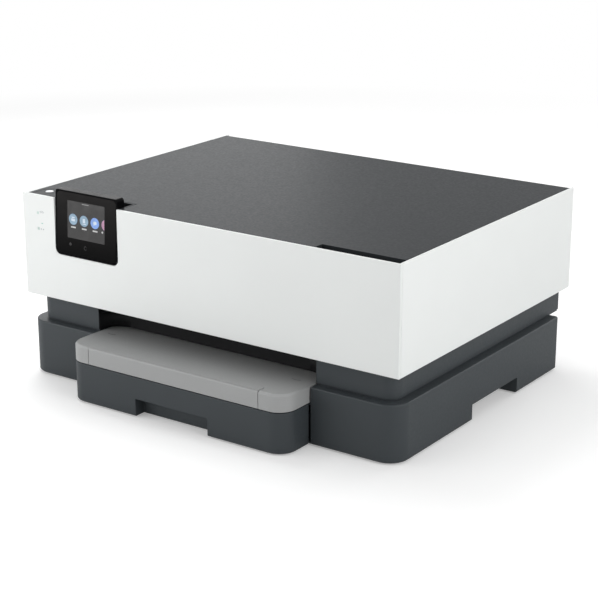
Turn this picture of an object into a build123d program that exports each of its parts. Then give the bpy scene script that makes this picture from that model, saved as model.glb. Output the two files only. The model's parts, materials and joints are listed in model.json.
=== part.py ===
"""Desktop inkjet printer for single sheets: a white shell over a dark base, with a slide-out paper
cassette, an output tray with an extension, a tilting control panel and a top cover over the print
carriage. +X is the printer's right, +Y its back and +Z up. The origin is on the table, under the
middle of the overall box. All sizes are millimetres."""

import os
from math import acos, atan2, cos, degrees, hypot, pi, radians, sin, sqrt, tan

from build123d import *

# ---------------------------------------------------------------- driving sizes: paper and ink
SHEET_WIDTH = 216.0
SHEET_LENGTH = 297.0
SHEET_ROOM = 6.0  # the paper well is this much longer than the sheet
CARTRIDGE_WIDTH = 20.0
CARTRIDGE_LENGTH = 62.0
CARTRIDGE_HEIGHT = 46.0
CARTRIDGE_GAP = 0.5
DIVIDER = 1.6

# ---------------------------------------------------------------- driving sizes: the casing
BODY_DEPTH = 331.0
FOOT_HEIGHT = 1.5
FOOT_LENGTH = 16.0
FOOT_WIDTH = 12.0
FOOT_INSET = 24.0  # of the rear feet from the base's sides and back
BASE_HEIGHT = 55.5
BAND_HEIGHT = 27.0  # dark band between the base and the white shell
SHELL_HEIGHT = 104.0
WALL = 2.5
SEAM = 0.3  # gap between fixed mouldings
RUN_GAP = 0.5  # gap round pieces that slide or swing

BASE_INSET = 0.5
BASE_RADIUS = 20.0
BASE_REAR_RADIUS = 4.0
BASE_SHORT = 20.0  # the base stops this far short of the back
FRAME_SETBACK = 9.0
FRAME_SIDE_INSET = 9.5
FRAME_RADIUS = 14.0
FRAME_REAR_RADIUS = 3.0
GROOVE_HEIGHT = 2.0  # shadow groove round the foot of the neck
GROOVE_DEPTH = 1.2
STACK_WALL_LINE = 31.0  # the wall behind the stacked sheets, behind the printer's front
STACK_WALL_RISE = 16.0  # above the output tray
STACK_WALL_RADIUS = 22.0  # of the wall's ends, which curve forward
SHELL_REAR_RADIUS = 3.0
COVER_SEAT_DROP = 9.5  # from the printer's top down to the flange that the cover rests on
GRIP_START = 135.0
GRIP_LENGTH = 89.0
GRIP_HEIGHT = 16.0
GRIP_REACH = 26.0

# ---------------------------------------------------------------- driving sizes: the trays
TRAY_OFFSET = -3.0  # the paper path's centre line, left of the printer's middle
TRAY_MARGIN = 20.5  # the trays are this much wider than the sheet, on each side
TRAY_RADIUS = 18.0
BAY_GAP = 1.5
BAY_LENGTH = 300.0
CASSETTE_TOP = 39.4  # height of the cassette's front above the base's underside
CASSETTE_REACH = 283.0  # how far the cassette runs in behind the front
CASSETTE_FRONT = 16.5  # thickness of its front
CASSETTE_SKIN = 2.0
CASSETTE_SIDE_STEP = 4.0  # its body is narrower than its front, on each side
CASSETTE_WALL_HEIGHT = 26.0
WELL_RIB_PITCH = 30.0
HANDLE_WIDTH = 86.0
HANDLE_HEIGHT = 17.5
HANDLE_DEPTH = 12.5
HANDLE_HOOK = 9.0  # the recess goes on this far up behind the front skin
HANDLE_OFFSET = -1.7
STACK_GAP = 0.8  # between the cassette's front and the output tray
OUTPUT_THICKNESS = 17.1
OUTPUT_REACH = 92.0
OUTPUT_FALL = 3.5  # the output tray's surface falls this much towards the back
OUTPUT_EDGE = 1.8  # rounding along its top edge
LIP_WIDTH = 201.0
LIP_DEPTH = 9.4
LIP_OFFSET = -1.4
LIP_RAISE = 0.6
SLIDE_THICKNESS = 2.5
GUIDE_LENGTH = 90.0
GUIDE_THICKNESS = 2.0
GUIDE_HEIGHT = 22.0
RACK_THICKNESS = 3.0
RACK_DEPTH = 4.0
PINION_LINE = 116.0  # the guides' pinion, behind the front
PINION_POST = 2.5

# ---------------------------------------------------------------- driving sizes: the control panel
PANEL_WIDTH = 79.5
PANEL_HEIGHT = 65.0
PANEL_THICKNESS = 12.5
PANEL_TOP_THICKNESS = 10.0
PANEL_LEAN = 3.0  # degrees
PANEL_PROUD = 0.8
PANEL_FROM_LEFT = 42.0
PANEL_RISE = 9.0
PANEL_RADIUS = 6.5
SCREEN_INSET = 1.5
SCREEN_THICKNESS = 1.2
PANEL_PIVOT_SETBACK = 7.5
PANEL_PIVOT_DROP = 3.0
DECK_LEFT = 11.0  # the button deck starts this far from the printer's left side
DECK_DEPTH = 27.0
DECK_RADIUS = 11.0
BUTTON_RADIUS = 4.0
BUTTON_FROM_LEFT = 21.5
BUTTON_SETBACK = 16.0
BUTTON_TRAVEL = 1.0
LIGHT_SIZE = 2.6
LIGHT_FROM_LEFT = 19.5
LIGHT_DROPS = (18.5, 34.5)  # below the printer's top

# ---------------------------------------------------------------- driving sizes: the top cover
COVER_SKIN = 3.0
COVER_RIM = 2.0
RIM_LEFT = 5.0
COVER_RADIUS = 7.5  # of the rounded rear edge, about the hinge axis
NOTCH_LENGTH = 87.0
NOTCH_DEPTH = 14.0
PIN_RADIUS = 1.6
FIT = 0.05  # radial running clearance of pins and shafts
HINGE_INSET = 64.5  # of the cover's hinges from the printer's sides
KNUCKLE_LENGTH = 12.0
LUG = 4.0
BEZEL_WIDTH = 12.0
WRAP = 3.0  # the front panel's return round the corners

# ---------------------------------------------------------------- driving sizes: the rear
DOOR_FROM_LEFT = 103.5
DOOR_FROM_RIGHT = 109.5
DOOR_HEIGHT = 56.0
DOOR_RISE = 8.0  # above the shell's lower edge
DOOR_BARREL = 3.0
DOOR_RIB_PITCH = 40.0
INLET_FROM_LEFT = 47.0
INLET_RISE = 14.0
INLET_WIDTH = 28.0
INLET_HEIGHT = 18.0
SOCKET_DEPTH = 17.0
REAR_INSET = 14.0  # of the rear panel from the printer's sides
BOARD_WIDTH = 84.0
BOARD_HEIGHT = 62.0
BOARD_RISE = 12.0
BOARD_FROM_RIGHT = 15.0
BOARD_THICKNESS = 1.6
POST_SIZE = 5.0

# ---------------------------------------------------------------- driving sizes: the print engine
PLATEN_MARGIN = 3.0  # the platen is this much wider than the sheet, on each side
SLED_WIDTH = 60.0
SLED_LENGTH = 36.0
PARK_GAP = 2.0  # between the platen and the service station's sled
PARK_ROOM = 9.0  # between the parked carriage and the right side plate
PLATE_INSET = 25.5  # of the side plates from the printer's sides
PLATE = 1.5  # sheet steel
PLATE_REAR_LINE = 242.25
PLATE_HEIGHT = 93.5
PLATE_FOOT = 12.0
PAPER_RISE = 90.0  # of the sheet in the print zone, above the base's underside
FEED_LINE = 190.0  # distances behind the printer's front
EXIT_LINE = 112.0
HEAD_LINE = 153.0
ROD_LINE = 196.0
BELT_LINE = 216.5
BEAM_LINE = 230.0
PICK_LINE = 208.0
TURN_LINE = 264.0
ROD_RISE = 22.0  # of the guide rod above the sheet
BELT_RISE = 38.0
BEAM_HEIGHT = 60.0
BEAM_LIP = 7.0
BEAM_WINDOW_PITCH = 70.0
ROD_RADIUS = 4.0
FEED_RADIUS = 6.0
EXIT_RADIUS = 5.0
SHAFT_RADIUS = 3.0
STAR_RADIUS = 4.0
STAR_AXLE = 1.0  # radius
STAR_TEETH = 10
PINCH_RADIUS = 3.5
ROLLER_INSET = 18.0  # of the outermost star wheels and pinch rollers from the sheet's edges
GEAR_MODULE = 1.5
TOOTH_FILL = 0.8  # a tooth fills this share of half the pitch, and the rest is backlash
TOOTH_ROOT = 1.25  # depth below the pitch line, in modules
TOOTH_TIP = 0.9  # height above the pitch line, in modules
GEAR_WIDTH = 6.0
FEED_TEETH = 24
EXIT_TEETH = 20
IDLER_TEETH = 32
MOTOR_TEETH = 10
PINION_TEETH = 12
PULLEY_RADIUS = 6.0
BELT_WIDTH = 6.0
BELT_THICKNESS = 1.2
PULLEY_INSET = 13.0  # of the pulleys' axes from the side plates
MOTOR_RADIUS = 12.0
MOTOR_LENGTH = 30.0
MOTOR_TURN = -20.0  # degrees: where the paper motor lies from the feed roller
CARRIAGE_FLOOR = 2.4
CARRIAGE_RISE = 10.0  # of the carriage's underside above the sheet
BUSH_LENGTH = 16.0
BUSH_SPREAD = 28.0
HEAD_GAP = 1.3
RIB_PITCH = 22.0
RIB_THICKNESS = 1.4
PICK_RADIUS = 11.0
PICK_ARM_LENGTH = 34.0
PICK_WIDTH = 20.0
JOURNAL = 6.0  # length of an axle's round ends
PICK_AXLE = 2.0  # radius
PICK_DROP = 8.0  # the pick shaft below the deck
PICK_REST_DROP = 3.0  # the pick roller below its shaft, with the arm raised
TURN_RADIUS = 26.0
TURN_WIDTH = 14.0
TURN_SPREAD = 45.0
TURN_GAP = 5.0  # between the turn roller and the outer guide

# ---------------------------------------------------------------- places worked out from them
platen_half = SHEET_WIDTH / 2 + PLATEN_MARGIN
carriage_half = (4 * (CARTRIDGE_WIDTH + CARTRIDGE_GAP) + 5 * DIVIDER) / 2
carriage_park = TRAY_OFFSET + platen_half + PARK_GAP + SLED_WIDTH / 2  # over the service station
plate_x = carriage_park + carriage_half + PARK_ROOM  # inner face of each side plate
SIDE = plate_x + PLATE_INSET

tray_proud = SHEET_LENGTH + SHEET_ROOM + CASSETTE_SKIN + CASSETTE_FRONT - CASSETTE_REACH
FRONT = -(BODY_DEPTH - tray_proud) / 2
BACK = FRONT + BODY_DEPTH
TRAY_FRONT = FRONT - tray_proud
base_z = FOOT_HEIGHT
floor_z = base_z + WALL
ledge_z = base_z + BASE_HEIGHT
shell_z = ledge_z + BAND_HEIGHT
top_z = shell_z + SHELL_HEIGHT
seat_z = top_z - COVER_SEAT_DROP
deck_z = ledge_z + WALL  # top of the frame's floor

base_side = SIDE - BASE_INSET
base_back = BACK - BASE_SHORT
frame_side = SIDE - FRAME_SIDE_INSET
stack_wall_y = FRONT + STACK_WALL_LINE
frame_front = FRONT + FRAME_SETBACK
frame_back = BACK - WALL
inner_side = frame_side - WALL

tray_left = TRAY_OFFSET - SHEET_WIDTH / 2 - TRAY_MARGIN
tray_right = TRAY_OFFSET + SHEET_WIDTH / 2 + TRAY_MARGIN
bay_left = tray_left - BAY_GAP
bay_right = tray_right + BAY_GAP
bay_back = FRONT + BAY_LENGTH
cassette_top = base_z + CASSETTE_TOP
cassette_z = floor_z + RUN_GAP
cassette_back = FRONT + CASSETTE_REACH
cassette_floor = cassette_z + CASSETTE_SKIN
well_y = TRAY_FRONT + CASSETTE_FRONT
rack_z = cassette_floor + SEAM
pinion_y = FRONT + PINION_LINE
pinion_pitch = GEAR_MODULE * PINION_TEETH / 2
output_z = cassette_top + STACK_GAP
output_top = output_z + OUTPUT_THICKNESS
output_back = FRONT + OUTPUT_REACH

panel_left = -SIDE + PANEL_FROM_LEFT
panel_right = panel_left + PANEL_WIDTH
panel_z = top_z + PANEL_RISE - PANEL_HEIGHT
panel_y = FRONT - PANEL_PROUD
pivot_y = FRONT + PANEL_PIVOT_SETBACK
pivot_z = top_z - PANEL_PIVOT_DROP
deck_left = -SIDE + DECK_LEFT
deck_right = panel_right + RUN_GAP + 2
deck_back = FRONT + DECK_DEPTH
button_x = -SIDE + BUTTON_FROM_LEFT
button_y = FRONT + BUTTON_SETBACK

cover_left = -SIDE + RIM_LEFT + RUN_GAP
cover_right = SIDE - WALL - RUN_GAP
cover_front = FRONT + WALL + RUN_GAP
cover_z = top_z - COVER_SKIN
hinge_y = BACK - COVER_RADIUS
hinge_z = top_z - COVER_RADIUS
rear_top = hinge_z - COVER_RADIUS - 1
door_left = -SIDE + DOOR_FROM_LEFT
door_right = SIDE - DOOR_FROM_RIGHT
door_z = shell_z + DOOR_RISE
door_axis_y = BACK - DOOR_BARREL
door_axis_z = door_z + DOOR_BARREL
board_right = SIDE - BOARD_FROM_RIGHT
board_z = shell_z + BOARD_RISE

paper_z = base_z + PAPER_RISE
feed_y = FRONT + FEED_LINE
feed_z = paper_z - FEED_RADIUS
exit_y = FRONT + EXIT_LINE
exit_z = paper_z - EXIT_RADIUS
pinch_y = feed_y + 3
pinch_z = paper_z + PINCH_RADIUS + SEAM
star_z = paper_z + STAR_RADIUS + SEAM
head_y = FRONT + HEAD_LINE
rod_y = FRONT + ROD_LINE
rod_z = paper_z + ROD_RISE
belt_y = FRONT + BELT_LINE
belt_z = paper_z + BELT_RISE
ear_z = belt_z - 6  # underside of the beam's ears, which carry the pulleys
beam_y = FRONT + BEAM_LINE
beam_top = deck_z + PLATE_HEIGHT
beam_z = beam_top - BEAM_HEIGHT
lip_y = belt_y - 10
pick_y = FRONT + PICK_LINE
pick_z = ledge_z - PICK_DROP
pick_end_y = pick_y + PICK_ARM_LENGTH
pick_end_z = pick_z - PICK_REST_DROP
pick_lug = PICK_WIDTH + 14  # inner face of the pick shaft's lugs from the centre line
turn_y = FRONT + TURN_LINE
turn_z = paper_z - TURN_RADIUS - TURN_GAP / 2
slot_back = exit_y - EXIT_RADIUS - 7
plate_front = exit_y - 12
plate_rear = FRONT + PLATE_REAR_LINE
carriage_z = paper_z + CARRIAGE_RISE
cartridge_y = head_y - CARTRIDGE_LENGTH / 2
cartridge_back = head_y + CARTRIDGE_LENGTH / 2
cartridge_z = carriage_z + CARRIAGE_FLOOR + SEAM
gear_x = -(plate_x + PLATE + 1.5)
pulley_x = plate_x - PULLEY_INSET
sled_rear = feed_y - FEED_RADIUS - 8


# ---------------------------------------------------------------- helpers
def block(low, high, mode=Mode.ADD):
    """A box between two opposite corners."""
    with Locations(tuple(sum(pair) / 2 for pair in zip(low, high))):
        Box(*[abs(b - a) for a, b in zip(low, high)], mode=mode)


def plan(z, height, x, y, front=0.0, rear=0.0, mode=Mode.ADD):
    """A plan rectangle, x and y as (low, high), extruded up from z; front and rear are corner radii."""
    with BuildSketch(Plane.XY.offset(z)) as outline:
        with Locations((sum(x) / 2, sum(y) / 2)):
            Rectangle(x[1] - x[0], y[1] - y[0])
        if front:
            fillet(outline.vertices().group_by(Axis.Y)[0], front)
        if rear:
            fillet(outline.vertices().group_by(Axis.Y)[-1], rear)
    extrude(outline.sketch, amount=height, mode=mode)


def side_profile(x, points, mode=Mode.ADD):
    """A closed outline of (y, z) points, extruded along X between two x positions."""
    with BuildSketch(Plane.YZ.offset(min(x))) as outline:
        with BuildLine():
            Polyline(*points, close=True)
        make_face()
    extrude(outline.sketch, amount=abs(x[1] - x[0]), mode=mode)


def bar(x, y, z, radius, mode=Mode.ADD):
    """A round bar along X between two x positions, about the axis at y, z."""
    with BuildSketch(Plane.YZ.offset(min(x))) as outline:
        with Locations((y, z)):
            Circle(radius)
    extrude(outline.sketch, amount=abs(x[1] - x[0]), mode=mode)


def octagon(middle, radius):
    """The corners of an octagon whose flats lie at the given radius."""
    reach = radius / cos(pi / 8)
    turns = [pi / 8 + step * pi / 4 for step in range(8)]
    return [(middle[0] + reach * cos(turn), middle[1] + reach * sin(turn)) for turn in turns]


def bearing(x, y, z, radius):
    """An eight-sided bearing cut along X for a round shaft of the given radius."""
    side_profile(x, octagon((y, z), radius + FIT), Mode.SUBTRACT)


def open_bearing(x, y, z, radius, low):
    """A bearing cut along X that is open below, down to low."""
    bearing(x, y, z, radius)
    block((x[0], y - radius - FIT, low), (x[1], y + radius + FIT, z), Mode.SUBTRACT)


def axle(half, y, z, radius, journal):
    """An axle along X on the paper path's centre line, square between its round ends."""
    reach = radius / sqrt(2)
    square = half - journal
    for out in (-1, 1):
        bar((TRAY_OFFSET + out * square, TRAY_OFFSET + out * half), y, z, radius)
    block((TRAY_OFFSET - square, y - reach, z - reach), (TRAY_OFFSET + square, y + reach, z + reach))


def ribbed(x, y, z, radius, ribs):
    """A ribbed roller along X between two x positions, about the axis at y, z."""
    turns = [2 * pi * rib / ribs for rib in range(ribs)]
    side_profile(x, [(y + radius * cos(turn), z + radius * sin(turn)) for turn in turns])


def upright(x, y, radius, z, height, mode=Mode.ADD):
    """A round bar along Z, about the axis at x, y, from z up."""
    with BuildSketch(Plane.XY.offset(z)) as outline:
        with Locations((x, y)):
            Circle(radius)
    extrude(outline.sketch, amount=height, mode=mode)


def tooth_widths():
    """Half the thickness of a tooth at its root and at its tip, along the pitch line."""
    half_tooth = TOOTH_FILL * pi * GEAR_MODULE / 4
    slope = tan(radians(20))
    return half_tooth + TOOTH_ROOT * GEAR_MODULE * slope, half_tooth - TOOTH_TIP * GEAR_MODULE * slope


def gear_outline(teeth, phase, bore=0.0):
    """A spur gear's outline in the active sketch, one tooth pointing at the angle phase; its bore has
    eight flats at the radius given."""
    pitch_radius = GEAR_MODULE * teeth / 2
    root = pitch_radius - TOOTH_ROOT * GEAR_MODULE
    tip = pitch_radius + TOOTH_TIP * GEAR_MODULE
    root_width, tip_width = tooth_widths()
    half_root = root_width / root
    half_tip = tip_width / tip
    points = []
    for tooth in range(teeth):
        middle = radians(phase) + 2 * pi * tooth / teeth
        for radius, turn in ((root, -half_root), (tip, -half_tip), (tip, half_tip), (root, half_root)):
            points.append((radius * cos(middle + turn), radius * sin(middle + turn)))
    with BuildLine() as teeth_line:
        Polyline(*points, close=True)
    make_face(teeth_line.edges())
    if bore:
        with BuildLine() as hole:
            Polyline(*octagon((0, 0), bore), close=True)
        make_face(hole.edges(), mode=Mode.SUBTRACT)


def mesh_phase(direction, phase, teeth, other_teeth):
    """The phase of a gear in mesh with one of known phase, whose centre lies in the given direction."""
    return direction + 180 - (teeth * (phase - direction) + 180) / other_teeth


def save(part, name):
    part.part.label = name
    export_step(part.part, os.path.join("parts", name + ".step"))


# ---------------------------------------------------------------- casing
def make_lower_base():
    """The dark lower body: a tub with a bay for the cassette and a lifting grip low in each side."""
    bottom_edge = 1.5
    ledge_edge = 0.8
    rim = 9.0  # width of the ledge round the well that the engine hangs in
    rail_drop = 2.5
    rail_reach = 4.0
    with BuildPart() as lower_base:
        side = (-base_side, base_side)
        plan(base_z, BASE_HEIGHT, side, (FRONT, base_back), BASE_RADIUS, BASE_REAR_RADIUS)
        chamfer(lower_base.faces().sort_by(Axis.Z)[0].edges(), bottom_edge)
        chamfer(lower_base.faces().sort_by(Axis.Z)[-1].edges(), ledge_edge)
        inside = (-base_side + WALL, base_side - WALL)
        lengthwise = (FRONT + WALL, base_back - WALL)
        radius = BASE_RADIUS - WALL
        plan(floor_z, BASE_HEIGHT - 2 * WALL, inside, lengthwise, radius, mode=Mode.SUBTRACT)
        well = ((-frame_side + rim, frame_front + rim, ledge_z - WALL - 1),
                (frame_side - rim, base_back - rim, ledge_z + 1))
        block(*well, Mode.SUBTRACT)
        mouth = ((bay_left, FRONT - 1, floor_z), (bay_right, frame_front + rim + 3, ledge_z + 1))
        block(*mouth, Mode.SUBTRACT)
        for x, out in ((bay_left, -1), (bay_right, 1)):
            block((x, FRONT + WALL, floor_z - 0.5), (x + out * WALL, bay_back, ledge_z))
            block((x, FRONT + 1, output_z - rail_drop), (x - out * rail_reach, output_back, output_z))
        for out in (-1, 1):
            inner = out * (base_side - GRIP_REACH)
            start = FRONT + GRIP_START
            end = start + GRIP_LENGTH
            walls = ((inner - out * WALL, start - WALL, floor_z - 0.5),
                     (out * (base_side - 1), end + WALL, base_z + GRIP_HEIGHT + WALL))
            block(*walls)
            hollow = ((inner, start, base_z - 1), (out * (base_side + 1), end, base_z + GRIP_HEIGHT))
            block(*hollow, Mode.SUBTRACT)
    save(lower_base, "lower_base")


def foot_places():
    """The middles of the four feet: two beside the cassette's bay and two near the back."""
    front_feet = [(bay_left - 10, FRONT + 14), (bay_right + 10, FRONT + 14)]
    return front_feet + [(out * (base_side - FOOT_INSET), base_back - FOOT_INSET) for out in (-1, 1)]


def make_rubber_feet():
    """Four flat rubber pads under the base."""
    with BuildPart() as rubber_feet:
        with BuildSketch():
            with Locations(*foot_places()):
                Rectangle(FOOT_WIDTH, FOOT_LENGTH)
        extrude(amount=FOOT_HEIGHT)
    save(rubber_feet, "rubber_feet")


def make_mid_frame():
    """The dark neck between base and shell: it carries the engine on its deck and frames the output
    slot, which a wall behind the stacked sheets closes, with a ramp from the wall up to the exit
    rollers. Two lugs under the deck hold the pick shaft."""
    path_half = platen_half + 4
    lug_drop = 5.0
    with BuildPart() as mid_frame:
        side = (-frame_side + GROOVE_DEPTH, frame_side - GROOVE_DEPTH)
        lengthwise = (frame_front + GROOVE_DEPTH, frame_back)
        radii = (FRAME_RADIUS - GROOVE_DEPTH, FRAME_REAR_RADIUS)
        plan(ledge_z, GROOVE_HEIGHT, side, lengthwise, *radii)
        side = (-frame_side, frame_side)
        radii = (FRAME_RADIUS, FRAME_REAR_RADIUS)
        plan(ledge_z + GROOVE_HEIGHT, BAND_HEIGHT - GROOVE_HEIGHT, side, (frame_front, frame_back), *radii)
        inside = (-inner_side, inner_side)
        lengthwise = (frame_front + WALL, frame_back - WALL)
        plan(deck_z, BAND_HEIGHT, inside, lengthwise, FRAME_RADIUS - WALL, mode=Mode.SUBTRACT)
        for x, out in ((bay_left, -1), (bay_right, 1)):
            block((x, frame_front + 2, ledge_z), (x + out * WALL, slot_back, shell_z))
        slot = ((bay_left, frame_front - 1, ledge_z - 1), (bay_right, slot_back, shell_z + 1))
        block(*slot, Mode.SUBTRACT)
        across = (bay_left, bay_right)
        wall_top = output_top + STACK_WALL_RISE
        block((bay_left, stack_wall_y - STACK_WALL_RADIUS, output_top), (bay_right, stack_wall_y, wall_top))
        lengthwise = (frame_front - 1, stack_wall_y)
        radius = STACK_WALL_RADIUS
        plan(output_top - 1, STACK_WALL_RISE + 2, across, lengthwise, rear=radius, mode=Mode.SUBTRACT)
        ramp_top = exit_z - EXIT_RADIUS - 4
        ramp = [(stack_wall_y, output_top), (stack_wall_y, wall_top), (slot_back - WALL, ramp_top),
                (slot_back + 1, ramp_top), (slot_back + 1, ledge_z), (slot_back - WALL, ledge_z),
                (slot_back - WALL, ramp_top - WALL), (stack_wall_y + WALL, wall_top - WALL),
                (stack_wall_y + WALL, output_top)]
        side_profile(across, ramp)
        path = ((TRAY_OFFSET - path_half, beam_y + 2, ledge_z - 1),
                (TRAY_OFFSET + path_half, turn_y + TURN_RADIUS + TURN_GAP + 6, deck_z + 1))
        block(*path, Mode.SUBTRACT)
        pick_slot = ((TRAY_OFFSET - pick_lug, pick_y - 6, ledge_z - 1),
                     (TRAY_OFFSET + pick_lug, beam_y + 3, deck_z + 1))
        block(*pick_slot, Mode.SUBTRACT)
        for out in (-1, 1):
            x = TRAY_OFFSET + out * pick_lug
            lug = [(pick_y - 6, deck_z), (pick_y - 5, pick_z - lug_drop), (pick_y + 5, pick_z - lug_drop),
                   (pick_y + 6, deck_z)]
            side_profile((x, x + out * LUG), lug)
        through = (TRAY_OFFSET - pick_lug - LUG - 1, TRAY_OFFSET + pick_lug + LUG + 1)
        bearing(through, pick_y, pick_z, SHAFT_RADIUS)
    save(mid_frame, "mid_frame")


def make_front_panel():
    """The white front: a flat face that wraps round both corners, cut out for the control panel."""
    lower_edge = 0.8
    rib_inset = 60.0
    with BuildPart() as front_panel:
        block((-SIDE, FRONT, shell_z), (SIDE, FRONT + WRAP, top_z))
        rim = ((-SIDE + WALL, FRONT + WALL, shell_z + WALL), (SIDE - WALL, FRONT + WRAP + 1, top_z + 1))
        block(*rim, Mode.SUBTRACT)
        block((-SIDE, FRONT, shell_z), (SIDE, frame_front + WALL + 1, shell_z + WALL))
        fillet(front_panel.edges().filter_by(Axis.X).group_by(Axis.Z)[0].sort_by(Axis.Y)[0], lower_edge)
        notch_height = PANEL_HEIGHT + 2 * RUN_GAP
        with BuildSketch(Plane.XZ.offset(-FRONT - 2 * WRAP)) as notch:
            with Locations(((panel_left + panel_right) / 2, panel_z - RUN_GAP + notch_height / 2)):
                Rectangle(PANEL_WIDTH + 2 * RUN_GAP, notch_height)
            fillet(notch.vertices().group_by(Axis.Y)[0], PANEL_RADIUS)
        extrude(amount=4 * WRAP, mode=Mode.SUBTRACT)
        for low, high in light_boxes():
            block((low[0], FRONT - 1, low[2]), (high[0], FRONT + WALL + 1, high[2]), Mode.SUBTRACT)
        for x in (-SIDE + rib_inset, 0, SIDE - rib_inset):
            rib = [(FRONT + WALL - 0.5, shell_z + WALL - 0.5), (FRONT + 10, shell_z + WALL - 0.5),
                   (FRONT + WALL - 0.5, shell_z + 12)]
            side_profile((x - 1, x + 1), rib)
    save(front_panel, "front_panel")


def light_boxes():
    """The outlines of the two status lights in the front panel."""
    x = -SIDE + LIGHT_FROM_LEFT
    half = LIGHT_SIZE / 2
    heights = [top_z - drop for drop in LIGHT_DROPS]
    return [((x - half, FRONT, z - half), (x + half, FRONT + WALL, z + half)) for z in heights]


def make_upper_casing():
    """The white shell behind the front: two sides, rear corners and a flange below that sits on the
    neck, with a window in the back for the rear panel."""
    start = FRONT + WRAP + SEAM
    back_face = BACK - WALL
    flange_side = inner_side - 1
    with BuildPart() as upper_casing:
        block((-SIDE, start, shell_z), (SIDE, BACK, top_z))
        fillet(upper_casing.edges().filter_by(Axis.Z).group_by(Axis.Y)[-1], SHELL_REAR_RADIUS)
        inside = ((-SIDE + WALL, start - 1, shell_z + WALL), (SIDE - WALL, back_face, top_z + 1))
        block(*inside, Mode.SUBTRACT)
        flange = ((-flange_side, start - 1, shell_z - 1),
                  (flange_side, frame_back - WALL - 1, shell_z + WALL + 1))
        block(*flange, Mode.SUBTRACT)
        front_strip = ((-SIDE - 1, start - 1, shell_z - 1),
                       (SIDE + 1, frame_front + WALL + 1 + SEAM, shell_z + WALL))
        block(*front_strip, Mode.SUBTRACT)
        above = ((-SIDE + RIM_LEFT, back_face - 1, rear_top), (SIDE - WALL, BACK + 1, top_z + 1))
        block(*above, Mode.SUBTRACT)
        block((-SIDE + 1, start, seat_z), (-SIDE + RIM_LEFT, BACK - 3, top_z))
        half = SIDE - REAR_INSET + SEAM
        window = ((-half, back_face - 1, shell_z + WALL), (half, BACK + 1, rear_top + 1))
        block(*window, Mode.SUBTRACT)
    save(upper_casing, "upper_casing")


def make_rear_panel():
    """The white back between the casing's rear corners, with the door's opening and its bearings,
    the sockets' openings and posts for the logic board."""
    half = SIDE - REAR_INSET
    back_face = BACK - WALL
    post = POST_SIZE / 2
    with BuildPart() as rear_panel:
        block((-half, back_face, shell_z + WALL), (half, BACK, rear_top))
        left, right = door_left - RUN_GAP, door_right + RUN_GAP
        for x, out in ((left, -1), (right, 1)):
            block((x, door_axis_y - 5, door_z - 1), (x + out * 6, back_face + 0.5, door_axis_z + 4))
        opening = ((left, back_face - 1, door_z - RUN_GAP), (right, BACK + 1, door_z + DOOR_HEIGHT + RUN_GAP))
        block(*opening, Mode.SUBTRACT)
        bearing((left - LUG - 0.5, right + LUG + 0.5), door_axis_y, door_axis_z, PIN_RADIUS)
        for box in inlet_box(SEAM), *socket_boxes(SEAM):
            block(*box, Mode.SUBTRACT)
        for x, z in board_posts():
            block((x - post, BACK - SOCKET_DEPTH, z - post), (x + post, back_face + 0.5, z + post))
    save(rear_panel, "rear_panel")


def inlet_box(gap):
    """The mains inlet's outline through the back, with a gap all round."""
    x = -SIDE + INLET_FROM_LEFT
    z = shell_z + INLET_RISE
    reach = INLET_WIDTH / 2 + gap
    rise = INLET_HEIGHT / 2 + gap
    return (x - reach, BACK - SOCKET_DEPTH, z - rise), (x + reach, BACK, z + rise)


def socket_boxes(gap):
    """The outlines of the square data socket and the network socket, with a gap all round."""
    z = board_z + 14
    boxes = []
    for inset, half_width, half_height in ((58, 6.2, 5.6), (28, 8.2, 6.9)):
        x = board_right - inset
        low = (x - half_width - gap, BACK - SOCKET_DEPTH, z - half_height - gap)
        high = (x + half_width + gap, BACK, z + half_height + gap)
        boxes.append((low, high))
    return boxes


def board_posts():
    """Where the logic board is screwed to posts on the back."""
    xs = (board_right - BOARD_WIDTH + POST_SIZE, board_right - POST_SIZE)
    return [(x, z) for x in xs for z in (board_z + POST_SIZE, board_z + BOARD_HEIGHT - POST_SIZE)]


def hinge_places():
    """The cover's two hinges: their x positions and the way out from the middle."""
    return [(out * (SIDE - HINGE_INSET), out) for out in (-1, 1)]


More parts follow.
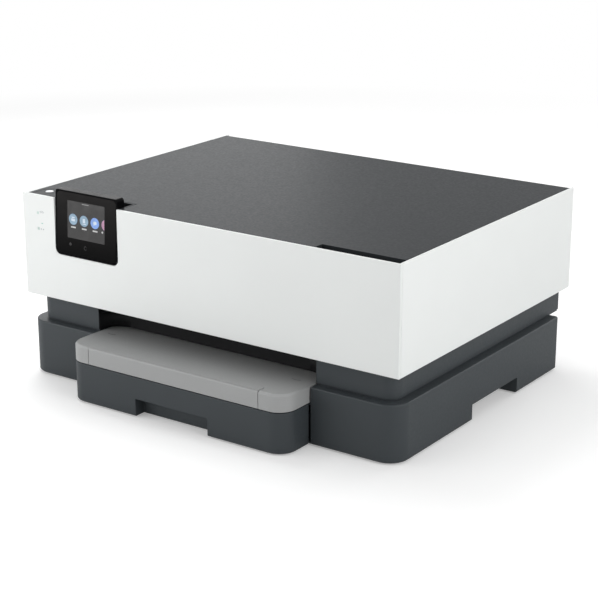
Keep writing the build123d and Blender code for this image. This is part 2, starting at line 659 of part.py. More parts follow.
def make_inner_bezel():
    """The dark moulding under the cover: the seat round the access opening with lugs for the cover's
    hinges, the button deck beside the control panel, and the bay that the panel tilts in."""
    thick = 2.0
    nose = 2 * PIN_RADIUS
    bay_z = panel_z - 6
    ring_z = seat_z - WALL
    with BuildPart() as inner_bezel:
        left = -SIDE + WALL + SEAM
        right = SIDE - WALL - SEAM
        front = FRONT + WALL + SEAM
        bezel_back = hinge_y - COVER_RADIUS - 3
        block((left, front, ring_z), (right, bezel_back, seat_z))
        hole = ((left + BEZEL_WIDTH, FRONT + 34, ring_z - 1),
                (right - BEZEL_WIDTH, bezel_back - 20, seat_z + 1))
        block(*hole, Mode.SUBTRACT)
        lug = [(bezel_back - 6, ring_z), (hinge_y, hinge_z - nose), (hinge_y + nose, hinge_z - 1),
               (hinge_y + nose, hinge_z + 1), (hinge_y, hinge_z + nose), (bezel_back, seat_z),
               (bezel_back - 6, seat_z)]
        for x, out in hinge_places():
            near = x + out * (KNUCKLE_LENGTH / 2 + RUN_GAP)
            span = (near, near + out * LUG)
            side_profile(span, lug)
            bearing((near - out, near + out * (LUG + 1)), hinge_y, hinge_z, PIN_RADIUS)
        with BuildSketch(Plane.XY.offset(ring_z)) as deck:
            with Locations(((deck_left + deck_right) / 2, (front + deck_back) / 2)):
                Rectangle(deck_right - deck_left, deck_back - front)
            fillet(deck.vertices().group_by(Axis.X)[0].sort_by(Axis.Y)[-1], DECK_RADIUS)
        extrude(amount=top_z - ring_z)
        bay_side = panel_left - RUN_GAP - thick
        under = ((deck_left + thick, front + thick, ring_z - 1), (bay_side, deck_back - thick, cover_z))
        block(*under, Mode.SUBTRACT)
        block((bay_side, front, bay_z), (deck_right, deck_back, top_z))
        bay = ((panel_left - RUN_GAP, front - 1, bay_z + thick),
               (panel_right + RUN_GAP, deck_back - thick, top_z + 1))
        block(*bay, Mode.SUBTRACT)
        for x, out in ((panel_left - RUN_GAP, 1), (panel_right + RUN_GAP, -1)):
            bar((x - out, x + out * LUG), pivot_y, pivot_z, PIN_RADIUS)
        upright(button_x, button_y, BUTTON_RADIUS + SEAM, cover_z - 1, COVER_SKIN + 2, Mode.SUBTRACT)
    save(inner_bezel, "inner_bezel")


def make_status_lights():
    """Two small lenses in the front panel."""
    with BuildPart() as status_lights:
        for low, high in light_boxes():
            block(low, high)
    save(status_lights, "status_lights")


def make_power_button():
    """The round power button: a cap through the deck, half its travel proud of it, and a square flange
    that keeps it in."""
    flange = 1.4
    rise = BUTTON_TRAVEL / 2
    low = cover_z - SEAM - flange
    reach = BUTTON_RADIUS + 1.5
    with BuildPart() as power_button:
        upright(button_x, button_y, BUTTON_RADIUS, low, COVER_SKIN + SEAM + flange + rise)
        block((button_x - reach, button_y - reach, low), (button_x + reach, button_y + reach, low + flange))
    save(power_button, "power_button")


def make_top_cover():
    """The dark top cover: a plate with a stiffening rim, a finger notch, a corner cut away for the
    button deck, and a rounded rear edge about its hinge axis with a knuckle and a stub pin at each
    hinge."""
    roll_end = -60.0
    middle = ((cover_left + cover_right) / 2, (cover_front + hinge_y) / 2)
    width = cover_right - cover_left
    depth = hinge_y - cover_front
    rim_z = seat_z + SEAM
    with BuildPart() as top_cover:
        with BuildSketch(Plane.XY.offset(cover_z)):
            with Locations(middle):
                Rectangle(width, depth)
        extrude(amount=COVER_SKIN)
        with BuildSketch(Plane.XY.offset(rim_z)):
            with Locations(middle):
                Rectangle(width, depth)
                Rectangle(width - 2 * COVER_RIM, depth - 2 * COVER_RIM, mode=Mode.SUBTRACT)
        extrude(amount=cover_z - rim_z)
        with BuildSketch(Plane.XY.offset(seat_z)) as cut:
            deck = (deck_left - RUN_GAP, deck_right + RUN_GAP)
            deck_depth = deck_back + RUN_GAP - cover_front + 1
            with Locations(((deck[0] + deck[1]) / 2, cover_front - 1 + deck_depth / 2)):
                Rectangle(deck[1] - deck[0], deck_depth)
            fillet(cut.vertices().group_by(Axis.X)[0].sort_by(Axis.Y)[-1], DECK_RADIUS)
            notch = FRONT + NOTCH_DEPTH - cover_front + 1
            with Locations((cover_right - NOTCH_LENGTH / 2 + 1, cover_front - 1 + notch / 2)):
                Rectangle(NOTCH_LENGTH + 2, notch)
        extrude(amount=COVER_SEAT_DROP + 1, mode=Mode.SUBTRACT)
        wall_y = deck_back + RUN_GAP
        block((deck[0] + DECK_RADIUS, wall_y, rim_z), (deck_right, wall_y + COVER_RIM, cover_z))
        notch_y = FRONT + NOTCH_DEPTH
        block((cover_right - NOTCH_LENGTH, notch_y, rim_z), (cover_right, notch_y + COVER_RIM, cover_z))
        with BuildSketch(Plane.YZ.offset(cover_left)):
            with BuildLine():
                outer = CenterArc((hinge_y, hinge_z), COVER_RADIUS, roll_end, 90 - roll_end)
                inner = CenterArc((hinge_y, hinge_z), COVER_RADIUS - COVER_SKIN, roll_end, 90 - roll_end)
                Line(outer @ 0, inner @ 0)
                Line(outer @ 1, inner @ 1)
            make_face()
        extrude(amount=width)
        for x, out in hinge_places():
            span = (x - KNUCKLE_LENGTH / 2, x + KNUCKLE_LENGTH / 2)
            clear = ((span[0] - LUG - 2, hinge_y - 14, seat_z), (span[1] + LUG + 2, hinge_y + 0.01, cover_z))
            block(*clear, Mode.SUBTRACT)
            side_profile(span, octagon((hinge_y, hinge_z), COVER_RADIUS - COVER_SKIN + 0.2))
            bar((x, x + out * (KNUCKLE_LENGTH / 2 + RUN_GAP + LUG)), hinge_y, hinge_z, PIN_RADIUS)
    save(top_cover, "top_cover")


def screen_plane():
    """The plane of the control panel's leaning front face, centred on the panel."""
    lean = radians(PANEL_LEAN)
    middle_z = panel_z + PANEL_HEIGHT / 2
    origin = ((panel_left + panel_right) / 2, panel_y + PANEL_HEIGHT / 2 * tan(lean), middle_z)
    return Plane(origin=origin, x_dir=(1, 0, 0), z_dir=(0, -cos(lean), sin(lean)))


def screen_outline(gap):
    """The screen's outline in the active sketch, smaller by a gap all round."""
    width = PANEL_WIDTH - 2 * (SCREEN_INSET + gap)
    height = PANEL_HEIGHT / cos(radians(PANEL_LEAN)) - 2 * (SCREEN_INSET + gap)
    RectangleRounded(width, height, PANEL_RADIUS - SCREEN_INSET)


def make_control_panel():
    """The tilting housing of the screen: it leans back a little and turns on pins near its top."""
    lean = PANEL_HEIGHT * tan(radians(PANEL_LEAN))
    panel_top = panel_z + PANEL_HEIGHT
    top_radius = 3.0
    with BuildPart() as control_panel:
        profile = [(panel_y, panel_z), (panel_y + lean, panel_top),
                   (panel_y + lean + PANEL_TOP_THICKNESS, panel_top),
                   (panel_y + PANEL_THICKNESS, panel_z + 6), (panel_y + PANEL_THICKNESS - 2, panel_z)]
        side_profile((panel_left, panel_right), profile)
        corners = control_panel.edges().filter_by(lambda edge: abs(edge.tangent_at(0.5).X) < 0.1
                                                  and abs(edge.tangent_at(0.5).Z) < 0.1)
        fillet(corners.group_by(Axis.Z)[0], PANEL_RADIUS)
        fillet(corners.group_by(Axis.Z)[-1], top_radius)
        with BuildSketch(screen_plane()):
            screen_outline(0)
        extrude(amount=-SCREEN_THICKNESS, mode=Mode.SUBTRACT)
        for x, out in ((panel_left, 1), (panel_right, -1)):
            socket = (x - out, x + out * (LUG + RUN_GAP))
            bearing(socket, pivot_y, pivot_z, PIN_RADIUS)
    save(control_panel, "control_panel")


def make_touch_screen():
    """The glossy plate over the display and the touch keys, flush in the panel's face."""
    with BuildPart() as touch_screen:
        with BuildSketch(screen_plane()):
            screen_outline(0.1)
        extrude(amount=-SCREEN_THICKNESS)
    save(touch_screen, "touch_screen")


# ---------------------------------------------------------------- trays
def make_output_tray():
    """The grey output tray: a shell over the cassette whose surface falls towards the back, open in
    front for the extension's lip and hollow below for its plate."""
    lip_half = LIP_WIDTH / 2 + RUN_GAP
    lip_x = TRAY_OFFSET + LIP_OFFSET
    lip_back = TRAY_FRONT + LIP_DEPTH + RUN_GAP
    skin = output_top - WALL
    fall_start = TRAY_FRONT + LIP_DEPTH + 14
    with BuildPart() as output_tray:
        plan(output_z, OUTPUT_THICKNESS, (tray_left, tray_right), (TRAY_FRONT, output_back), TRAY_RADIUS)
        top_edges = output_tray.faces().sort_by(Axis.Z)[-1].edges().sort_by(Axis.Y)[:-1]
        chamfer(top_edges, OUTPUT_EDGE)
        fall = [(fall_start, output_top), (output_back + 1, output_top - OUTPUT_FALL),
                (output_back + 1, output_top + 1)]
        side_profile((tray_left - 1, tray_right + 1), fall, Mode.SUBTRACT)
        hollow_x = (tray_left + WALL, tray_right - WALL)
        hollow_y = (TRAY_FRONT + WALL, output_back + 1)
        hollow_height = OUTPUT_THICKNESS - OUTPUT_FALL - WALL + 1
        plan(output_z - 1, hollow_height, hollow_x, hollow_y, TRAY_RADIUS - WALL, mode=Mode.SUBTRACT)
        mouth = ((lip_x - lip_half, TRAY_FRONT - 1, output_z - 1),
                 (lip_x + lip_half, lip_back, output_top + 1))
        block(*mouth, Mode.SUBTRACT)
        rail_z = skin - OUTPUT_FALL - SLIDE_THICKNESS - 2 * RUN_GAP
        for out in (-1, 1):
            web = lip_x + out * (lip_half - 3)
            block((web, lip_back, rail_z - 2), (web + out * 2, output_back, skin - 1))
            block((web + out * 2, lip_back, rail_z - 2), (web - out * 6, output_back, rail_z))
    save(output_tray, "output_tray")


def make_tray_extension():
    """The pull-out extension: the lip in the output tray's front and the plate behind it."""
    lip_x = TRAY_OFFSET + LIP_OFFSET
    lip_half = LIP_WIDTH / 2
    lip_back = TRAY_FRONT + LIP_DEPTH
    plate_top = output_top - WALL - OUTPUT_FALL - RUN_GAP
    plate_z = plate_top - SLIDE_THICKNESS
    with BuildPart() as tray_extension:
        block((lip_x - lip_half, TRAY_FRONT, output_z), (lip_x + lip_half, lip_back, output_top + LIP_RAISE))
        fillet(tray_extension.edges().filter_by(Axis.X).group_by(Axis.Y)[0].sort_by(Axis.Z)[-1], 2.5)
        under = ((lip_x - lip_half + 2, TRAY_FRONT + 2, output_z - 1),
                 (lip_x + lip_half - 2, lip_back - 2, plate_z))
        block(*under, Mode.SUBTRACT)
        plate = ((lip_x - lip_half + 4, TRAY_FRONT + 2, plate_z),
                 (lip_x + lip_half - 4, output_back - 4, plate_top))
        block(*plate)
    save(tray_extension, "tray_extension")


def make_cassette():
    """The paper cassette: a deep front with a handle recess and a long ribbed well behind it."""
    block_back = FRONT - RUN_GAP
    left = tray_left + CASSETTE_SIDE_STEP
    right = tray_right - CASSETTE_SIDE_STEP
    handle_x = TRAY_OFFSET + HANDLE_OFFSET
    bottom_edge = 1.0
    with BuildPart() as cassette:
        plan(base_z, CASSETTE_TOP, (tray_left, tray_right), (TRAY_FRONT, block_back), TRAY_RADIUS)
        chamfer(cassette.faces().sort_by(Axis.Z)[0].edges().sort_by(Axis.Y)[:-1], bottom_edge)
        block((left, block_back - 1, cassette_z), (right, cassette_back, cassette_z + CASSETTE_WALL_HEIGHT))
        well = ((left + CASSETTE_SKIN, well_y, cassette_floor),
                (right - CASSETTE_SKIN, cassette_back - CASSETTE_SKIN, cassette_top + 1))
        block(*well, Mode.SUBTRACT)
        for corner, out in ((tray_left + TRAY_RADIUS, -1), (tray_right - TRAY_RADIUS, 1)):
            pocket = ((handle_x + out * (HANDLE_WIDTH / 2 + 3), TRAY_FRONT + WALL, base_z - 1),
                      (corner, well_y - WALL, cassette_top - WALL))
            block(*pocket, Mode.SUBTRACT)
        grip = (handle_x - HANDLE_WIDTH / 2, handle_x + HANDLE_WIDTH / 2)
        recess_back = TRAY_FRONT + HANDLE_DEPTH
        recess = ((grip[0], TRAY_FRONT - 1, base_z - 1), (grip[1], recess_back, base_z + HANDLE_HEIGHT))
        block(*recess, Mode.SUBTRACT)
        hook = ((grip[0], TRAY_FRONT + WALL, base_z),
                (grip[1], recess_back, base_z + HANDLE_HEIGHT + HANDLE_HOOK))
        block(*hook, Mode.SUBTRACT)
        for step in (-3, -1, 1, 3):
            x = TRAY_OFFSET + step * WELL_RIB_PITCH
            rib = ((x - 1, pinion_y + 50, cassette_floor - 0.5),
                   (x + 1, cassette_back - 6, rack_z + RACK_THICKNESS))
            block(*rib)
        upright(TRAY_OFFSET, pinion_y, PINION_POST, cassette_floor - 0.5, RACK_THICKNESS + SEAM + 1)
    save(cassette, "cassette")


def make_separation_pad():
    """The friction pad on the cassette's floor, under the pick roller."""
    half = 10.0
    thickness = 1.5
    pad_y = pick_y + sqrt(PICK_ARM_LENGTH ** 2 - (pick_z - cassette_floor - PICK_RADIUS) ** 2)
    with BuildPart() as separation_pad:
        block((TRAY_OFFSET - half, pad_y - half, cassette_floor),
              (TRAY_OFFSET + half, pad_y + half + 2, cassette_floor + thickness))
    save(separation_pad, "separation_pad")


def width_guide(out):
    """One paper guide, with the rack that reaches past the pinion at the middle."""
    face = TRAY_OFFSET + out * (SHEET_WIDTH / 2 + SEAM)
    ends = (pinion_y - GUIDE_LENGTH / 2, pinion_y + GUIDE_LENGTH / 2)
    root_y = pinion_y - out * (pinion_pitch + TOOTH_ROOT * GEAR_MODULE)
    back_y = root_y - out * RACK_DEPTH
    block((face, ends[0], rack_z), (face + out * GUIDE_THICKNESS, ends[1], rack_z + GUIDE_HEIGHT))
    block((face, ends[0], rack_z), (face + out * 10, ends[1], rack_z + GUIDE_THICKNESS))
    block((TRAY_OFFSET - out * 22, root_y, rack_z), (face + out, back_y, rack_z + RACK_THICKNESS))
    root, tip = tooth_widths()
    tip_y = root_y + out * (TOOTH_ROOT + TOOTH_TIP) * GEAR_MODULE
    sunk_y = root_y - out * 0.2
    pitch = pi * GEAR_MODULE
    with BuildSketch(Plane.XY.offset(rack_z)) as teeth:
        for tooth in range(-4, 11):
            x = TRAY_OFFSET + out * (tooth + 0.5) * pitch
            with BuildLine():
                Polyline((x - root, sunk_y), (x - root, root_y), (x - tip, tip_y), (x + tip, tip_y),
                         (x + root, root_y), (x + root, sunk_y), close=True)
            make_face()
    extrude(teeth.sketch, amount=RACK_THICKNESS)


def make_width_guides():
    """The two paper guides, left and right, alike but for a half turn about the pinion."""
    with BuildPart() as left_width_guide:
        width_guide(-1)
    save(left_width_guide, "left_width_guide")
    with BuildPart() as right_width_guide:
        width_guide(1)
    save(right_width_guide, "right_width_guide")


def make_guide_pinion():
    """The pinion between the two racks, on its post, a tooth in a gap of each rack."""
    with BuildSketch() as outline:
        gear_outline(PINION_TEETH, 90, PINION_POST + FIT)
    with BuildPart() as guide_pinion:
        with BuildSketch(Plane.XY.offset(rack_z)):
            with Locations((TRAY_OFFSET, pinion_y)):
                add(outline.sketch)
        extrude(amount=RACK_THICKNESS)
    save(guide_pinion, "guide_pinion")


def make_length_guide():
    """The guide behind the sheets' trailing edge, at the front of the cassette."""
    face = cassette_back - CASSETTE_SKIN - SHEET_LENGTH - 1
    half = 20.0
    foot_half = 14.0
    with BuildPart() as length_guide:
        block((TRAY_OFFSET - half, face - GUIDE_THICKNESS, rack_z),
              (TRAY_OFFSET + half, face, rack_z + GUIDE_HEIGHT))
        block((TRAY_OFFSET - foot_half, face - GUIDE_THICKNESS, rack_z),
              (TRAY_OFFSET + foot_half, face + 26, rack_z + 2))
        for x in (-12, 0, 12):
            web = [(face - 0.5, rack_z + 1), (face + 12, rack_z + 1), (face - 0.5, rack_z + GUIDE_HEIGHT - 4)]
            side_profile((TRAY_OFFSET + x - 1, TRAY_OFFSET + x + 1), web)
    save(length_guide, "length_guide")


# ---------------------------------------------------------------- print engine: frame and drive
def make_side_plates():
    """The two folded steel plates that carry the engine, with bearings for the shafts; the left one
    also carries the idler gear's pin and lets the motor's pinion through."""
    motor_hole = GEAR_MODULE * (MOTOR_TEETH / 2 + TOOTH_TIP) + 1
    with BuildPart() as side_plates:
        for out in (-1, 1):
            inner = out * plate_x
            outline = [(plate_front, deck_z), (plate_rear, deck_z), (plate_rear, beam_top),
                       (rod_y - 20, beam_top), (rod_y - 30, rod_z), (plate_front, exit_z + 14)]
            side_profile((inner, inner + out * PLATE), outline)
            block((inner + out * PLATE, plate_front, deck_z),
                  (inner - out * PLATE_FOOT, plate_rear, deck_z + PLATE))
            across = (inner - out, inner + out * (PLATE + 1))
            bearing(across, feed_y, feed_z, FEED_RADIUS)
            bearing(across, exit_y, exit_z, SHAFT_RADIUS)
        centre = gear_centres()
        through = (-plate_x - PLATE - 1, -plate_x + 1)
        side_profile(through, octagon(centre["motor"], motor_hole), Mode.SUBTRACT)
        bar((gear_x - GEAR_WIDTH - 1, -plate_x - PLATE + 0.5), *centre["idler"], SHAFT_RADIUS)
    save(side_plates, "side_plates")


def gear_centres():
    """Axis positions (y, z) of the gears on the left plate: the idler meshes with both rollers'
    gears, above the line between them, and the motor's pinion meshes with the feed gear."""
    pitch = {"feed": FEED_TEETH, "exit": EXIT_TEETH, "idler": IDLER_TEETH, "motor": MOTOR_TEETH}
    pitch = {name: GEAR_MODULE * teeth / 2 for name, teeth in pitch.items()}
    run, rise = feed_y - exit_y, feed_z - exit_z
    distance = hypot(run, rise)
    to_exit = pitch["idler"] + pitch["exit"]
    to_feed = pitch["idler"] + pitch["feed"]
    bend = acos((distance ** 2 + to_exit ** 2 - to_feed ** 2) / (2 * distance * to_exit))
    turn = atan2(rise, run) + bend
    idler = (exit_y + to_exit * cos(turn), exit_z + to_exit * sin(turn))
    reach = pitch["feed"] + pitch["motor"]
    motor = (feed_y + reach * cos(radians(MOTOR_TURN)), feed_z + reach * sin(radians(MOTOR_TURN)))
    return {"feed": (feed_y, feed_z), "exit": (exit_y, exit_z), "idler": idler, "motor": motor}


def direction(start, end):
    """The direction in degrees from one gear's axis to another's."""
    return degrees(atan2(end[1] - start[1], end[0] - start[0]))


def gear_phases():
    """Where each gear's first tooth points, so that the teeth are in mesh."""
    centre = gear_centres()
    phases = {"feed": 0.0}
    way = direction(centre["feed"], centre["idler"])
    phases["idler"] = mesh_phase(way, phases["feed"], FEED_TEETH, IDLER_TEETH)
    way = direction(centre["idler"], centre["exit"])
    phases["exit"] = mesh_phase(way, phases["idler"], IDLER_TEETH, EXIT_TEETH)
    way = direction(centre["feed"], centre["motor"])
    phases["motor"] = mesh_phase(way, phases["feed"], FEED_TEETH, MOTOR_TEETH)
    return phases


def spur_gear(name, teeth, width=GEAR_WIDTH, bore=0.0):
    """One gear of the train on the left plate, its outer faces in one plane."""
    with BuildSketch() as outline:
        gear_outline(teeth, gear_phases()[name], bore)
    with BuildSketch(Plane.YZ.offset(gear_x - GEAR_WIDTH)) as placed:
        with Locations(gear_centres()[name]):
            add(outline.sketch)
    extrude(placed.sketch, amount=width)


def make_gears():
    """The gear train: the feed and exit rollers' gears on the ends of their shafts, the idler
    between them, and the motor's long pinion, which runs through the left plate."""
    with BuildPart() as feed_gear:
        spur_gear("feed", FEED_TEETH)
    save(feed_gear, "feed_gear")
    with BuildPart() as idler_gear:
        spur_gear("idler", IDLER_TEETH, bore=SHAFT_RADIUS + FIT)
    save(idler_gear, "idler_gear")
    with BuildPart() as exit_gear:
        spur_gear("exit", EXIT_TEETH)
    save(exit_gear, "exit_gear")
    with BuildPart() as motor_pinion:
        spur_gear("motor", MOTOR_TEETH, -plate_x - SEAM - gear_x + GEAR_WIDTH)
    save(motor_pinion, "motor_pinion")


def make_feed_motor():
    """The paper motor's eight-sided can, on the inner side of the left plate."""
    with BuildPart() as feed_motor:
        side_profile((-plate_x, -plate_x + MOTOR_LENGTH), octagon(gear_centres()["motor"], MOTOR_RADIUS))
    save(feed_motor, "feed_motor")


def make_rollers():
    """The gritted steel feed roller, a plain rod, and the exit roller, a rubber sleeve on a shaft.
    Both turn in the side plates and carry their gears on the left."""
    outer = (gear_x, plate_x + PLATE + 2)
    sleeve = SHEET_WIDTH / 2 + 2
    with BuildPart() as feed_roller:
        bar(outer, feed_y, feed_z, FEED_RADIUS)
    save(feed_roller, "feed_roller")
    with BuildPart() as exit_roller:
        bar(outer, exit_y, exit_z, SHAFT_RADIUS)
        bar((TRAY_OFFSET - sleeve, TRAY_OFFSET + sleeve), exit_y, exit_z, EXIT_RADIUS)
    save(exit_roller, "exit_roller")


def make_pinch_rollers():
    """The two idle rollers that press the sheet on the feed roller, on a thin axle."""
    half = SHEET_WIDTH / 2
    sleeve = 21.0
    with BuildPart() as pinch_rollers:
        axle(half, pinch_y, pinch_z, PIN_RADIUS, JOURNAL)
        for out in (-1, 1):
            x = TRAY_OFFSET + out * (half - ROLLER_INSET - sleeve)
            bar((x - sleeve, x + sleeve), pinch_y, pinch_z, PINCH_RADIUS)
    save(pinch_rollers, "pinch_rollers")


def make_pinch_bracket():
    """The plate behind the pinch rollers, with an arm at each end that holds their axle."""
    low = pinch_z + PINCH_RADIUS + 1
    end = SHEET_WIDTH / 2
    with BuildPart() as pinch_bracket:
        block((TRAY_OFFSET - end - 6, pinch_y + 2, low), (TRAY_OFFSET + end + 6, beam_y, low + 2))
        arm = [(pinch_y - 3.5, pinch_z - 2), (pinch_y + 3.5, pinch_z - 2), (pinch_y + 8, low + 1),
               (pinch_y - 3.5, low + 1)]
        for out in (-1, 1):
            x = TRAY_OFFSET + out * (end - 3)
            side_profile((x, x + out * 4), arm)
        bearing((TRAY_OFFSET - end - 2, TRAY_OFFSET + end + 2), pinch_y, pinch_z, PIN_RADIUS)
    save(pinch_bracket, "pinch_bracket")


def make_star_wheels():
    """The toothed discs over the exit roller, on a thin axle: they touch wet ink only at points."""
    thickness = 1.2
    root = STAR_RADIUS - 1.4
    spokes = []
    for step in range(2 * STAR_TEETH):
        radius = STAR_RADIUS if step % 2 else root
        turn = pi * step / STAR_TEETH
        spokes.append((exit_y + radius * cos(turn), star_z + radius * sin(turn)))
    with BuildPart() as star_wheels:
        axle(SHEET_WIDTH / 2, exit_y, star_z, STAR_AXLE, JOURNAL)
        for step in (-1, 0, 1):
            x = TRAY_OFFSET + step * (SHEET_WIDTH / 2 - ROLLER_INSET)
            side_profile((x - thickness / 2, x + thickness / 2), spokes)
    save(star_wheels, "star_wheels")


def make_star_holder():
    """The bar in front of the star wheels, on a post at each plate, with an arm at each end that
    holds their axle."""
    front = exit_y - STAR_RADIUS - 6
    end = SHEET_WIDTH / 2
    with BuildPart() as star_holder:
        block((-plate_x, front, star_z - 3), (plate_x, front + 4, star_z + 5))
        for out in (-1, 1):
            x = TRAY_OFFSET + out * (end - 3)
            block((x, front + 3, star_z - 2), (x + out * 4, exit_y + 2.5, star_z + 2.5))
            block((out * (plate_x - 8), front, deck_z + PLATE), (out * plate_x, front + 4, star_z))
        bearing((TRAY_OFFSET - end - 2, TRAY_OFFSET + end + 2), exit_y, star_z, STAR_AXLE)
    save(star_holder, "star_holder")


def make_platen():
    """The ribbed bed under the print head, on four legs."""
    front = exit_y + EXIT_RADIUS + 2
    rear = feed_y - FEED_RADIUS - 2
    low = paper_z - 8
    half = RIB_THICKNESS / 2
    with BuildPart() as platen:
        block((TRAY_OFFSET - platen_half, front, low), (TRAY_OFFSET + platen_half, rear, low + 4))
        profile = [(front, low + 3.5), (front, paper_z - 1.6), (front + 3, paper_z - 0.5),
                   (rear - 3, paper_z - 0.5), (rear, paper_z - 1.6), (rear, low + 3.5)]
        gaps = int(2 * (platen_half - 1) / RIB_PITCH)
        for rib in range(gaps + 1):
            x = TRAY_OFFSET + (rib - gaps / 2) * RIB_PITCH
            side_profile((x - half, x + half), profile)
        for out in (-1, 1):
            x = TRAY_OFFSET + out * (platen_half - 4)
            for y in (front, rear - 10):
                block((x, y, deck_z), (x - out * 3, y + 10, low + 1))
    save(platen, "platen")


def make_carriage_beam():
    """The long folded beam behind the carriage: its lip guides the carriage's upper shoe, and an ear
    at each end carries a pulley."""
    with BuildPart() as carriage_beam:
        block((-plate_x, beam_y, beam_z), (plate_x, beam_y + PLATE, beam_top))
        block((-plate_x, lip_y, beam_top - PLATE), (plate_x, beam_y + PLATE, beam_top))
        block((-plate_x, lip_y, beam_top - BEAM_LIP), (plate_x, lip_y + PLATE, beam_top))
        for step in (-2, -1, 0, 1, 2):
            x = step * BEAM_WINDOW_PITCH
            window = ((x - 12, beam_y - 1, beam_z + 14), (x + 12, beam_y + PLATE + 1, beam_z + 26))
            block(*window, Mode.SUBTRACT)
        for out in (-1, 1):
            block((out * (plate_x - PULLEY_INSET - 4), belt_y - 8, ear_z),
                  (out * plate_x, beam_y + 1, ear_z + PLATE))
            with BuildSketch(Plane.XY.offset(ear_z - 1)) as seat:
                with BuildLine():
                    Polyline(*octagon((out * pulley_x, belt_y), PULLEY_RADIUS + FIT), close=True)
                make_face()
            extrude(seat.sketch, amount=PLATE + 2, mode=Mode.SUBTRACT)
    save(carriage_beam, "carriage_beam")


def make_guide_rod():
    """The ground steel rod that the carriage runs on, screwed between the side plates."""
    with BuildPart() as guide_rod:
        bar((-plate_x, plate_x), rod_y, rod_z, ROD_RADIUS)
    save(guide_rod, "guide_rod")


def make_encoder_strip():
    """The clear encoder strip along the carriage's travel."""
    with BuildPart() as encoder_strip:
        block((-plate_x, rod_y - 3, rod_z + 10), (plate_x, rod_y - 2.6, rod_z + 17))
    save(encoder_strip, "encoder_strip")


def make_timing_belt():
    """The belt round the two pulleys; the carriage is clamped to its front run."""
    inner = PULLEY_RADIUS + SEAM
    with BuildPart() as timing_belt:
        with BuildSketch(Plane.XY.offset(belt_z)):
            with Locations((0, belt_y)):
                SlotCenterToCenter(2 * pulley_x, 2 * (inner + BELT_THICKNESS))
                SlotCenterToCenter(2 * pulley_x, 2 * inner, mode=Mode.SUBTRACT)
        extrude(amount=BELT_WIDTH)
    save(timing_belt, "timing_belt")


def pulley(x):
    """One ribbed pulley, a little taller than the belt."""
    ribs = 24
    low = ear_z + SEAM
    with BuildSketch(Plane.XY.offset(low)) as drum:
        with Locations((x, belt_y)):
            RegularPolygon(PULLEY_RADIUS, ribs)
    extrude(drum.sketch, amount=belt_z + BELT_WIDTH + 1 - low)


def make_pulleys():
    """The motor's pulley on the left and the idler pulley on the right: ribbed drums whose lower
    ends turn in the beam's ears."""
    with BuildPart() as drive_pulley:
        pulley(-pulley_x)
    save(drive_pulley, "drive_pulley")
    with BuildPart() as idler_pulley:
        pulley(pulley_x)
    save(idler_pulley, "idler_pulley")


def make_carriage_motor():
    """The carriage motor's eight-sided can under the left ear of the beam."""
    with BuildPart() as carriage_motor:
        with BuildSketch(Plane.XY.offset(ear_z - MOTOR_LENGTH)):
            with BuildLine():
                Polyline(*octagon((-pulley_x, belt_y), MOTOR_RADIUS), close=True)
            make_face()
        extrude(amount=MOTOR_LENGTH)
    save(carriage_motor, "carriage_motor")


def make_carriage():
    """The carriage: four bays open in front, two bushings on the rod, a clamp on the belt's front
    run and a shoe round the beam's lip."""
    x0 = carriage_park
    front = cartridge_y - 4
    rear = cartridge_back + 2
    wall_top = cartridge_z + CARTRIDGE_HEIGHT * 0.8
    belt_front = belt_y - PULLEY_RADIUS - SEAM
    with BuildPart() as carriage:
        block((x0 - carriage_half, front, carriage_z),
              (x0 + carriage_half, rear + WALL, carriage_z + CARRIAGE_FLOOR))
        block((x0 - carriage_half, rear, carriage_z), (x0 + carriage_half, rear + WALL, wall_top))
        side = [(front, carriage_z), (rear + 1, carriage_z), (rear + 1, wall_top), (head_y, wall_top),
                (front, carriage_z + 14)]
        for step in range(5):
            x = x0 - carriage_half + step * (CARTRIDGE_WIDTH + CARTRIDGE_GAP + DIVIDER)
            side_profile((x, x + DIVIDER), side)
        for out in (-1, 1):
            middle = x0 + out * BUSH_SPREAD
            block((middle - BUSH_LENGTH / 2, rear + 1, rod_z - 8),
                  (middle + BUSH_LENGTH / 2, rod_y + 8, rod_z + 8))
        block((x0 - 10, rear + 1, belt_z - 3), (x0 + 10, belt_front + 3, belt_z + 8))
        slit = ((x0 - 10, belt_front - BELT_THICKNESS - SEAM, belt_z - SEAM),
                (x0 + 10, belt_front + SEAM, belt_z + 9))
        block(*slit, Mode.SUBTRACT)
        block((x0 - 22, rear + 1, beam_top - 16), (x0 + 22, lip_y + PLATE + 5, beam_top - 3))
        shoe = ((x0 - 23, lip_y - RUN_GAP, beam_top - BEAM_LIP - 1),
                (x0 + 23, lip_y + PLATE + RUN_GAP, beam_top))
        block(*shoe, Mode.SUBTRACT)
        strip = ((x0 - carriage_half, rod_y - 3.6, rod_z + 9.4),
                 (x0 + carriage_half, rod_y - 2, rod_z + 17.6))
        block(*strip, Mode.SUBTRACT)
        bearing((x0 - carriage_half, x0 + carriage_half), rod_y, rod_z, ROD_RADIUS)
    save(carriage, "carriage")


def make_print_head():
    """The print head under the carriage's floor, with its nozzle plate just above the sheet."""
    low = paper_z + HEAD_GAP
    with BuildPart() as print_head:
        block((carriage_park - 32, head_y - 18, low + 3), (carriage_park + 32, head_y + 16, carriage_z))
        block((carriage_park - 26, head_y - 12, low), (carriage_park + 26, head_y + 10, low + 3.5))
    save(print_head, "print_head")


